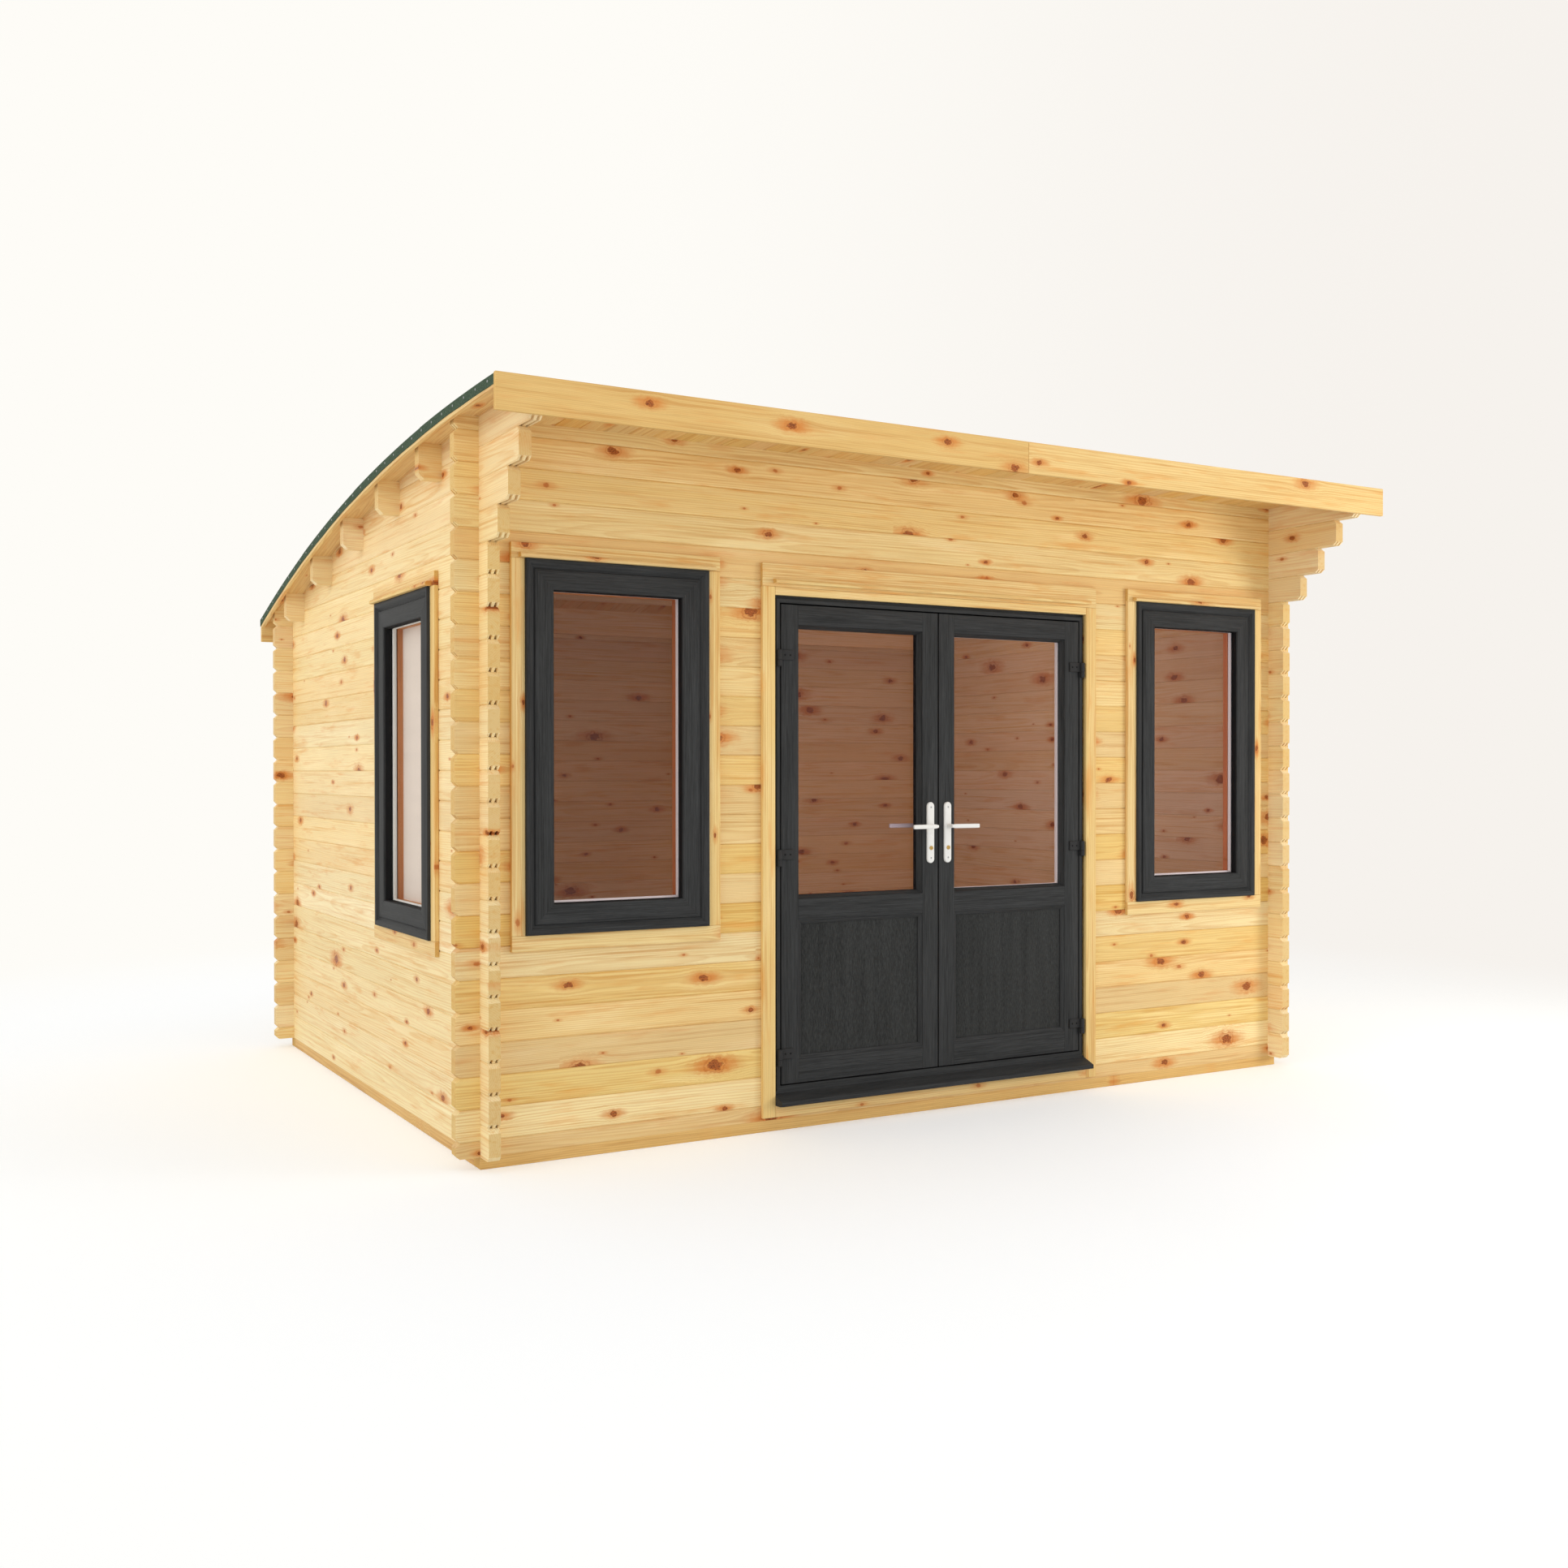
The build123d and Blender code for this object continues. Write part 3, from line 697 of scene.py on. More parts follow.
front_openings = [(-WIN_X - half_hole, -WIN_X + half_hole, WIN_Z - FIT, WIN_Z + WIN_H + FIT),
                  (-door_half, door_half, DOOR_BOTTOM, DOOR_HEAD + FIT),
                  (WIN_X - half_hole, WIN_X + half_hole, WIN_Z - FIT, WIN_Z + WIN_H + FIT)]
side_centre = FRONT + SIDE_WIN_Y
side_openings = [(side_centre - half_hole, side_centre + half_hole, SIDE_WIN_Z - FIT, SIDE_WIN_Z + WIN_H + FIT)]

cross_wall(on_front, front_openings).make(
    "front_logs", [pine], nodes=["front_wall_left", "front_wall_right", "front_wall_head", "front_wall_sill"],
    slot="pine")
cross_wall(on_back, []).make("back_logs", [pine_painted_sunlit], nodes=["back_wall"], slot="pine")
side_wall(on_left, side_openings).make("left_logs", [pine_painted_sunlit], nodes=["left_wall"], slot="pine")
side_wall(on_right, []).make("right_logs", [pine_painted_sunlit], nodes=["right_wall"], slot="pine")
gable(on_left).make("left_gable_logs", [pine_painted_sunlit], nodes=["left_gable"], slot="pine")
gable(on_right).make("right_gable_logs", [pine_painted_sunlit], nodes=["right_gable"], slot="pine")

# ---------------------------------------------------------------- purlins
PURLIN_H = 0.135
PURLIN_BEVEL = 0.022
for k in range(5):
    y0 = FRONT + 0.418 + 0.551 * k
    z0 = roof_level(UNDER_RADIUS, y0) - PURLIN_H
    reach = SIDE + END
    outline = rounded(0.0, WALL, 0.0, PURLIN_H + 0.02, 0.0022)
    tip = [(reach, PURLIN_BEVEL, 0.001), (reach - 0.001, 0.0212, 0.0), (reach - PURLIN_BEVEL, 0.0, 0.0)]
    rings = []
    for u, low, inset in [(-u, low, inset) for u, low, inset in tip] + tip[::-1]:
        ring = []
        for d, z in outline:
            d = min(max(d, inset), WALL - inset)
            z = max(z, low)
            y = y0 + d
            ring.append(((u, y, min(z0 + z, roof_level(UNDER_RADIUS, y))), (u, z, d)))
        rings.append(ring)
    stock = Stock()
    stock.sweep(rings, dice.random(), PURLIN_H)
    stock.make(f"purlin_beam_{k + 1}", [pine_painted_sunlit], nodes=[f"purlin_{k + 1}"], slot="pine")


# ---------------------------------------------------------------- roof
def bent_run(stock, outline, radius, seed, width):
    """An outline of (x, height over the radius) points that follows the roof curve over the boards' depth."""
    x_low = min(p[0] for p in outline)
    rings = []
    for y in spaced(BOARD_FRONT, BOARD_BACK, 37):
        level = roof_level(radius, y)
        rings.append([((x, y, level + t), (y, x - x_low, t)) for x, t in outline])
    stock.sweep(rings, seed, width)


stock = Stock()
count = 43
pitch = 2 * BOARD_SIDE / count
joint = 0.0003
v = 0.003
for k in range(count):
    x0 = -BOARD_SIDE + k * pitch
    x1 = x0 + pitch
    outline = [(x0 + joint, v), (x0 + v, 0.0), (x1 - v, 0.0), (x1 - joint, v), (x1 - joint, BOARD), (x0 + joint, BOARD)]
    bent_run(stock, outline, UNDER_RADIUS, dice.random(), pitch)
stock.make("roof_planks", [pine_roof], nodes=["roof_boards"], slot="pine")

stock = Stock()
for x0 in (-COVERED, BOARD_SIDE):
    outline = rounded(x0 + 0.0002, x0 + EDGE_TRIM - 0.0002, 0.0, EDGE_TRIM_HEIGHT, 0.002)
    bent_run(stock, outline, BOARD_RADIUS - EDGE_TRIM_HEIGHT, dice.random(), EDGE_TRIM_HEIGHT)
stock.make("edge_trims", [pine_trim], nodes=["roof_edge_trims"], slot="pine_trim")

NAIL_DROP = 0.018       # from the felt's top edge down to its nails


def felt_cover():
    """Felt in lapped courses across the roof, turned down at the sides and the back, with clout nails."""
    stock = Stock()
    out = 0.0006
    laps = [BOARD_FRONT, -0.98, -0.06, 0.86, ROOF_BACK]
    r = 0.006
    steps = 12
    for y0, y1 in zip(laps, laps[1:]):
        rings = []
        for k, y in enumerate(spaced(y0, y1, steps + 1)):
            rise = -0.0018 + 0.0018 * k / steps
            low = -0.038 + 0.0009 * math.sin(y * 9.0) + 0.0006 * math.sin(y * 23.0)
            top = roof_level(ROOF_RADIUS, y)
            x1 = ROOF_SIDE - out + rise * 0.2
            x0 = COVERED + 0.0003
            half = [(x0, low), (x1, low), (x1, -r), (x1 - r * 0.29, -r * 0.29), (x1 - r, 0.0)]
            outer = [(x, t + rise if t > -0.02 else t) for x, t in half]
            shape = outer + [(-x, t) for x, t in reversed(outer)] + [(-x0, 0.0002 - FELT), (x0, 0.0002 - FELT)]
            rings.append([((x, y, top + t), (y, x, t)) for x, t in shape])
        stock.sweep(rings)
    y1 = ROOF_BACK - 0.0004
    y0 = y1 - FELT + 0.0006
    top = roof_level(ROOF_RADIUS, ROOF_BACK)
    rings = []
    for x in spaced(-ROOF_SIDE + 0.001, ROOF_SIDE - 0.001, 41):
        low = top - 0.030 + 0.0012 * math.sin(x * 7.0)
        rings.append([((x, y, z), (x, 0, 0)) for y, z in ((y1, low), (y1, top - 0.001), (y0, top - 0.001), (y0, low))])
    stock.sweep(rings)

    def nail(centre, normal):
        normal = Vector(normal)
        side_a = normal.orthogonal().normalized()
        side_b = normal.cross(side_a)
        rings = []
        for radius, h in ((0.0045, -0.0004), (0.0045, 0.0001), (0.0045 * 0.7, 0.0005)):
            rings.append([(Vector(centre) + side_a * a + side_b * b + normal * h, (0, 0, 0))
                          for a, b in ring_points(0.0, 0.0, radius, 8)])
        stock.sweep(rings, mark=1)

    for hand in (-1, 1):
        for y in spaced(BOARD_FRONT + 0.06, ROOF_BACK - 0.06, 30):
            nail((hand * (ROOF_SIDE - out), y, roof_level(ROOF_RADIUS, y) - NAIL_DROP), (hand, 0, 0))
    for x in spaced(-ROOF_SIDE + 0.06, ROOF_SIDE - 0.06, 34):
        nail((x, y1 - 0.0001, top - NAIL_DROP), (0, 1, 0))
    for lap in laps[1:-1]:
        y = lap - 0.025
        for x in spaced(-ROOF_SIDE + 0.05, ROOF_SIDE - 0.05, 40):
            nail((x, y, roof_level(ROOF_RADIUS, y) - 0.0002), (0, 0, 1))
    stock.make("felt_sheets", [felt, steel], nodes=["roof_felt"], slot="felt", angle=40.0)


felt_cover()

FRONT_FASCIA_H = 0.123
for name, x0, x1, board in (("front_fascia_left", -ROOF_SIDE, 0.060, pine_fascia),
                            ("front_fascia_right", 0.060, ROOF_SIDE, pine_trim)):
    stock = Stock()
    outline = rounded(0.0, FRONT_FASCIA_H, 0.0, FASCIA, 0.0025)
    low = ROOF_TOP - FRONT_FASCIA_H
    run(stock, outline, lambda u, v, w: (u, ROOF_FRONT + w, low + v), x0 + 0.0003, x1 - 0.0003, dice.random(),
        FRONT_FASCIA_H)
    stock.make(name + "_board", [board], nodes=[name], slot="pine_trim")

stock = Stock()
REAR_FASCIA_H = 0.118
OVER_ROOF = 3.0         # a height over the roof, from where a point is brought down to it
rear_low = roof_level(ROOF_RADIUS, ROOF_BACK) - REAR_FASCIA_H
rings = []
for u, ease in ((-COVERED, 0.0015), (-COVERED + 0.0015, 0.0), (COVERED - 0.0015, 0.0), (COVERED, 0.0015)):
    ring = []
    for w, z in rounded(ease, FASCIA - ease, rear_low + ease, OVER_ROOF, 0.0025):
        y = BOARD_BACK + w
        grain = (u, z - rear_low if z < OVER_ROOF - 0.1 else 0.11, w)
        ring.append(((u, y, min(z, roof_level(BOARD_RADIUS, y) - ease)), grain))
    rings.append(ring)
stock.sweep(rings, dice.random(), REAR_FASCIA_H)
stock.make("rear_fascia_board", [pine_trim], nodes=["rear_fascia"], slot="pine_trim")

# ---------------------------------------------------------------- floor and ground frame
stock = Stock()
inside = WALL + 0.004
floor_half = SIDE - inside
rows = 29
row_depth = (DEPTH - 2 * inside) / rows
outline = rounded(0.0006, row_depth - 0.0006, 0.0, 0.019, 0.0012)
for k in range(rows):
    y0 = FRONT + inside + k * row_depth
    run(stock, outline, lambda u, v, w: (u, y0 + v, BEARER + w), -floor_half, floor_half, dice.random(), 0.1)
stock.make("floor_planks", [pine], nodes=["floor_boards"], slot="pine")

stock = Stock()
SILL_WIDTH = 0.070
outline = rounded(0.0, SILL_WIDTH, 0.0, BEARER, 0.002)
for y0 in (FRONT, BACK - SILL_WIDTH):
    run(stock, outline, lambda u, v, w: (u, y0 + v, w), -SIDE, SIDE, dice.random(), SILL_WIDTH)
inner_side = SIDE - SILL_WIDTH
joists = [-inner_side + k * 2 * inner_side / 9 - BEARER / 2 for k in range(1, 9)]
for x0, width in [(-SIDE, SILL_WIDTH), (inner_side, SILL_WIDTH)] + [(x, BEARER) for x in joists]:
    run(stock, rounded(0.0, width, 0.0, BEARER, 0.002), lambda u, v, w: (x0 + v, u, w), FRONT + SILL_WIDTH,
        BACK - SILL_WIDTH, dice.random(), width)
stock.make("ground_frame", [treated], nodes=["floor_bearers"], slot="treated_timber")


# ---------------------------------------------------------------- windows
def on_window(x_mid):
    return lambda x, y, z: (x_mid + x, FRONT + y, z)


def on_side_window(x, y, z):
    return (-SIDE + y, side_centre - x, z)


MITRE = 0.0002          # open joint at a mitre


def member_ring(stock, put, half, z0, z1, profile, seeds, width, mark=0):
    """Four mitred members round a rectangle. The profile is (distance in from the edge, depth)."""
    sides = [(lambda u, v, w: put(-half + u, w, z0 + v), 2 * half),
             (lambda u, v, w: put(half - v, w, z0 + u), z1 - z0),
             (lambda u, v, w: put(half - u, w, z1 - v), 2 * half),
             (lambda u, v, w: put(-half + v, w, z1 - u), z1 - z0)]
    for (place, size), seed in zip(sides, seeds):
        first = [(MITRE + v, v, w) for v, w in profile]
        last = [(size - MITRE - v, v, w) for v, w in profile]
        stock.sweep([[(place(*spot), spot) for spot in ring] for ring in (first, last)], seed, width, mark)


def build_window(name, put, z0, node, reaches):
    """Casing, sash, rubber and inner lining round the glass, each mitred at its corners; the black rubber covers the
    sash's whole reveal, a real gasket at the glass and painted shade of the deep reveal over the rest.
    """
    z1 = z0 + WIN_H
    half = WIN_W / 2
    stock = Stock()
    face = -0.030
    back = 0.040
    casing = [(0.0, back), (0.0, face + 0.003), (0.0009, face + 0.0009), (0.003, face), (0.015, face),
              (0.0175, face + 0.0008), (0.0225, face + 0.0050), (0.0290, face + 0.0110), (0.0318, face + 0.0135),
              (0.0335, face + 0.0140), (0.045, face + 0.0200), (0.045, back)]
    inner_edge = 0.111
    hold = 0.0990           # from the window's edge to the edge of its glass
    glass_y = 0.013
    g = glass_y - 0.0002
    sash = [(0.0345, 0.037), (0.0345, face + 0.0150), (0.0356, face + 0.0118), (0.0385, face + 0.0088),
            (0.0420, face + 0.0080), (0.1000, face + 0.0080), (0.1040, face + 0.0086), (0.1075, face + 0.0105),
            (0.1090, face + 0.0140), (0.1092, g), (hold, g), (hold, 0.037)]
    # Black rubber over the sash's whole reveal: a gasket at the glass, and painted shade of the deep reveal over the
    # rest.
    rubber_and_painted_shade = [(0.1092, g), (0.1092, face + 0.0160), (0.1105, face + 0.0168), (inner_edge, face + 0.0185),
              (inner_edge, glass_y - 0.0030), (0.1118, g)]
    lining = [(hold, 0.0372), (0.1125, 0.0372), (0.1125, 0.0640), (0.1110, 0.0660), (0.1085, 0.0668),
              (-0.020, 0.0668), (-0.020, 0.0445), (0.045, 0.0445), (0.045, 0.0372)]
    member_ring(stock, put, half, z0, z1, casing, draw(4), 0.045)
    member_ring(stock, put, half, z0, z1, sash, draw(4), 0.066)
    member_ring(stock, put, half, z0, z1, rubber_and_painted_shade, [0.1] * 4, 0.004, mark=1)
    member_ring(stock, put, half, z0, z1, lining, draw(4), 0.11, mark=2)
    stock.make(name + "_frame_profiles", [anthracite, seal_and_painted_shade, inner_frame], nodes=[node + "_frame"], slot="anthracite")
    build_glass(name, put, half - hold, z0 + hold, z1 - hold, glass_y, node + "_glass", "cabin", reaches)


def build_glass(name, put, half, z0, z1, y0, node, body, reaches, middle=0.0, bar_material=None):
    """Sealed unit: two panes with a spacer between them, its reach given for left, right, bottom and top."""
    stock = Stock()
    x0, x1 = middle - half, middle + half
    for a, b in ((0.0005, 0.0042), (0.0198, 0.0235)):
        outline = rounded(x0 + 0.0005, x1 - 0.0005, y0 + a, y0 + b, 0.0006)
        small = shrunk(outline, 0.0004)
        upright(stock, put, ((z0 + 0.0005, small), (z0 + 0.0010, outline), (z1 - 0.0010, outline),
                             (z1 - 0.0005, small)))
    # The side window gets a third sheet behind its panes, which carries the painted reflection.
    if put is on_side_window:
        outline = rounded(x0 + 0.0133, x1 - 0.0133, y0 + 0.0475, y0 + 0.0505, 0.0005)
        upright(stock, put, ((z0 + 0.0133, outline), (z1 - 0.0133, outline)), mark=2)
    left, right, low, high = reaches
    near, far = y0 + 0.0044, y0 + 0.0196
    e = 0.0006
    for a, b in ((x0 + e, x0 + left), (x1 - right, x1 - e)):
        outline = rounded(a, b, near, far, 0.0007)
        stock.sweep([[(put(x, y, z), (z, x, y)) for x, y in outline] for z in (z0 + e, z1 - e)], mark=1)
    for a, b in ((z0 + e, z0 + low), (z1 - high, z1 - e)):
        outline = rounded(a, b, near + 0.0001, far - 0.0001, 0.0007)
        stock.sweep([[(put(x, y, z), (x, z, y)) for z, y in outline] for x in (x0 + left, x1 - right)], mark=1)
    pane = glass_side if put is on_side_window else glass
    stock.make(name + "_panes", [pane, bar_material or spacer, glass_painted_reflection], body=body, nodes=[node], slot="glazing")


DRIP = [(0.0, -0.0178), (0.0, -0.040), (0.0015, -0.0435), (0.005, -0.045), (0.011, -0.044), (0.0165, -0.0385),
        (0.019, -0.0178)]


def trim(a0, a1, ease=0.0022):
    """Outline of a trim board from a0 to a1 across its width."""
    return rounded(a0, a1, -0.018, -0.0002, ease)


def side_boards(stock, put, half, width, z0, z1):
    """Two upright boards that start at half on both sides."""
    for hand in (-1, 1):
        run(stock, trim(0.0003, width - 0.0003), lambda u, v, w: put(hand * (half + v), w, u), z0, z1, dice.random(),
            width)


def level_board(stock, put, outline, z, reach, width, way=1):
    """A level board or strip that goes up from z, or down from it, and reaches as far to both sides."""
    run(stock, outline, lambda u, v, w: put(u, w, z + way * v), -reach, reach, dice.random(), width)


def window_boards(name, put, z0, node):
    """Trim boards with butt joints, and a drip strip over the frame."""
    stock = Stock()
    half = WIN_W / 2
    z1 = z0 + WIN_H
    side_boards(stock, put, half, 0.052, z0 + 0.0003, z1 - 0.0003)
    level_board(stock, put, trim(0.0, 0.055), z1, half + 0.052, 0.055)
    level_board(stock, put, trim(0.0, 0.058), z0, half + 0.052, 0.058, way=-1)
    level_board(stock, put, DRIP, z1, half + 0.024, 0.03)
    stock.make(name + "_boards", [pine_trim], nodes=[node + "_trim"], slot="pine_trim")


for name, put, z0, node in (("left_front_window", on_window(-WIN_X), WIN_Z, "front_left_window"),
                            ("right_front_window", on_window(WIN_X), WIN_Z, "front_right_window"),
                            ("gable_window", on_side_window, SIDE_WIN_Z, "side_window")):
    reaches = (0.0165, 0.0125, 0.0165, 0.0135) if put is on_side_window else (0.0130, 0.0155, 0.0200, 0.0115)
    build_window(name, put, z0, node, reaches)
    window_boards(name, put, z0, node)

# ---------------------------------------------------------------- doorway
PROUD = 0.005           # the doors stand out of the wall by this
LEAF_GAP = 0.006
LEAF = 0.060            # thickness of a leaf
FRAME_FACE = 0.028
leaf_x0 = DOOR_W / 2 - FRAME_FACE - LEAF_GAP
leaf_x1 = LEAF_GAP / 2
leaf_z0 = DOOR_SILL + FRAME_FACE + LEAF_GAP
leaf_z1 = DOOR_HEAD - FRAME_FACE - LEAF_GAP
STILE = 0.078
GLASS_Z = 0.905
PANEL_LOW = leaf_z0 + 0.092
PANEL_HIGH = GLASS_Z - 0.083
put_front = on_window(0.0)
half_door = DOOR_W / 2

stock = Stock()
foot = DOOR_BOTTOM - 0.045
head = DOOR_HEAD + 0.032
side_boards(stock, put_front, half_door, 0.057, foot, head - 0.0003)
level_board(stock, put_front, trim(0.0, 0.090), head, half_door + 0.057, 0.090)
level_board(stock, put_front, trim(0.0003, 0.0317, 0.0028), DOOR_HEAD, half_door - 0.0003, 0.032)
level_board(stock, put_front, trim(0.0, 0.0447), foot, half_door - 0.0003, 0.045)
level_board(stock, put_front, DRIP, head + 0.011, half_door + 0.009, 0.03)
stock.make("doorway_boards", [pine_trim], nodes=["door_trim"], slot="pine_trim")

stock = Stock()
profile = [(0.075, DOOR_BOTTOM + 0.0002), (-0.048, DOOR_BOTTOM + 0.0002), (-0.0670, 0.1052), (-0.0679, 0.1068),
           (-0.0680, 0.1195), (-0.0672, 0.1222), (-0.0650, 0.1234), (-0.0060, DOOR_SILL - 0.0006),
           (0.075, DOOR_SILL - 0.0002)]
run(stock, profile, lambda u, v, w: (u, FRONT + v, w), -half_door + 0.0002, half_door - 0.0002, dice.random(), 0.1,
    ease=0.0)
stock.make("cill_profile", [anthracite], nodes=["door_cill"], slot="anthracite")


def door_casing():
    """Mitred frame with an open joint outside and a stop behind the leaves."""
    stock = Stock()
    joint = 0.012
    rebate = FRAME_FACE
    stop_y = -PROUD + LEAF + 0.005
    back = -PROUD + 0.080
    lap = rebate + LEAF_GAP + 0.010
    shared = [(rebate - 0.0015, -PROUD), (rebate, -PROUD + 0.0015), (rebate, stop_y), (lap, stop_y), (lap, back)]
    profile = [(0.0, back), (0.0, -PROUD + joint), (joint, -PROUD + joint), (joint, -PROUD + 0.0015),
               (joint + 0.0015, -PROUD)] + shared
    sill = [(0.0, back), (0.0, -PROUD)] + shared
    for hand in (-1, 1):
        seed = dice.random()
        rings = [[(put_front(hand * (half_door - v), w, z + way * (MITRE + v)), (z + way * v, v, w))
                  for v, w in profile] for z, way in ((DOOR_SILL, 1), (DOOR_HEAD, -1))]
        stock.sweep(rings, seed, 0.03)
    for z, way, outline in ((DOOR_HEAD, -1, profile), (DOOR_SILL, 1, sill)):
        rings = [[(put_front(hand * (half_door - MITRE - v), w, z + way * v), (hand * (half_door - v), v, w))
                  for v, w in outline] for hand in (-1, 1)]
        stock.sweep(rings, dice.random(), 0.03)
    stock.make("door_casing", [anthracite], nodes=["door_frame"], slot="anthracite")


door_casing()


def bar(stock, put, a0, a1, b0, b1, stands, seed, r=0.0015):
    """A member of a leaf from a0 to a1 across its grain and from b0 to b1 along it."""
    outline = rounded(a0, a1, -PROUD, -PROUD + LEAF, r)
    stock.sweep([[(put(a, y, b) if stands else put(b, y, a), (b, a - a0, y)) for a, y in outline] for b in (b0, b1)],
                seed, a1 - a0)


def bead_ring(stock, put, z0, z1, y_face, y_low, width):
    """Sloping glazing beads just inside an opening between the stiles."""
    profile = [(0.0, y_low), (0.0, y_face + 0.0008), (0.0016, y_face), (width - 0.0035, y_low - 0.0065),
               (width - 0.0005, y_low - 0.0035), (width, y_low)]
    member_ring(stock, lambda x, y, z: put(x + leaf_middle, y, z), leaf_half, z0, z1, profile, draw(4), width)


def on_leaf(hand):
    return lambda x, y, z: (hand * x, FRONT + y, z)


inner_x = leaf_x1 + STILE
outer_x = leaf_x0 - STILE
leaf_half = (outer_x - inner_x) / 2
leaf_middle = (inner_x + outer_x) / 2


def build_leaf(hand, side):
    """One door leaf: stiles and rails, beads round the glass and the panel."""
    body = f"{side}_door"
    put = on_leaf(hand)
    y0 = -PROUD
    y1 = y0 + LEAF
    a = leaf_x1
    m = inner_x
    stock = Stock()
    seeds = draw(6)     # one for each member, and one that is left over
    # meeting stile leans back at its edge
    taper = 0.004
    outline = [(a, y0 + 0.0015), (a + 0.0015, y0), (m - 0.001, y0), (m, y0 + 0.001), (m, y1 - 0.001), (m - 0.001, y1),
               (a + taper + 0.0015, y1), (a + taper, y1 - 0.0015)]
    stock.sweep([[(put(x, y, z), (z, x - a, y)) for x, y in outline] for z in (leaf_z0, leaf_z1)], seeds[0], STILE)
    bar(stock, put, outer_x, leaf_x0, leaf_z0, leaf_z1, True, seeds[1])
    top = leaf_z1 - STILE
    rails = [(leaf_z0, PANEL_LOW), (PANEL_HIGH, GLASS_Z), (top, leaf_z1)]
    for (low, high), seed in zip(rails, seeds[2:]):
        bar(stock, put, low, high, m, outer_x, False, seed, r=0.0008)
    glass_y = y0 + 0.030
    bead_ring(stock, put, GLASS_Z, top, y0 + 0.004, glass_y - 0.0002, 0.013)
    bead_ring(stock, put, PANEL_LOW, PANEL_HIGH, y0 + 0.002, y0 + 0.0138, 0.016)
    stock.make(f"{side}_leaf_profiles", [anthracite, seal_and_painted_shade], body=body, nodes=[f"{side}_leaf_frame"], slot="anthracite")
    lap = 0.012
    seen = lap + 0.0130
    reaches = (seen, seen + 0.0030, seen + 0.0010, seen - 0.0010)
    build_glass(f"{side}_leaf", put, leaf_half + lap, GLASS_Z - lap, top + lap, glass_y, f"{side}_leaf_glass", body,
                reaches, leaf_middle, seal_and_painted_shade if hand < 0 else None)
    panel = Stock()
    outline = rounded(m - lap, outer_x + lap, y0 + 0.014, y0 + 0.038, 0.001)
    panel.sweep([[(put(x, y, z), (z, x - m, y)) for x, y in outline] for z in (PANEL_LOW - lap, PANEL_HIGH + lap)],
                dice.random(), 0.5)
    panel.make(f"{side}_leaf_board", [anthracite_panel], body=body, nodes=[f"{side}_leaf_panel"], slot="anthracite")


def turned(stock, put, cx, cz, steps, face=-PROUD, way=-1, mark=0, count=24):
    """A round piece about a line from front to back. Steps are (radius, way out from the face)."""
    rings = [[(put(x, face + way * out, z), (x, face + way * out, z)) for x, z in ring_points(cx, cz, radius, count)]
             for radius, out in steps]
    stock.sweep(rings, mark=mark)


HANDLE_X = 0.0435
LEVER_Z = 1.181
LEVER = 0.122           # from the lever's axis to its tip
PLATE_Z = 1.1545        # middle of the long plates
PLATE_HALF = 0.017      # half of their width


def plate_ring(put, face, way, inset, out):
    """A long plate's outline with round ends, drawn in by the inset."""
    w = PLATE_HALF - inset
    straight = 0.253 / 2 - PLATE_HALF
    ring = []
    for start, end in ((0.0, 1), (math.pi, -1)):
        for i in range(13):
            t = start + math.pi * i / 12
            x, z = HANDLE_X + w * math.cos(t), PLATE_Z + end * straight + w * math.sin(t)
            ring.append((put(x, face + way * out, z), (x, z, out)))
    return ring


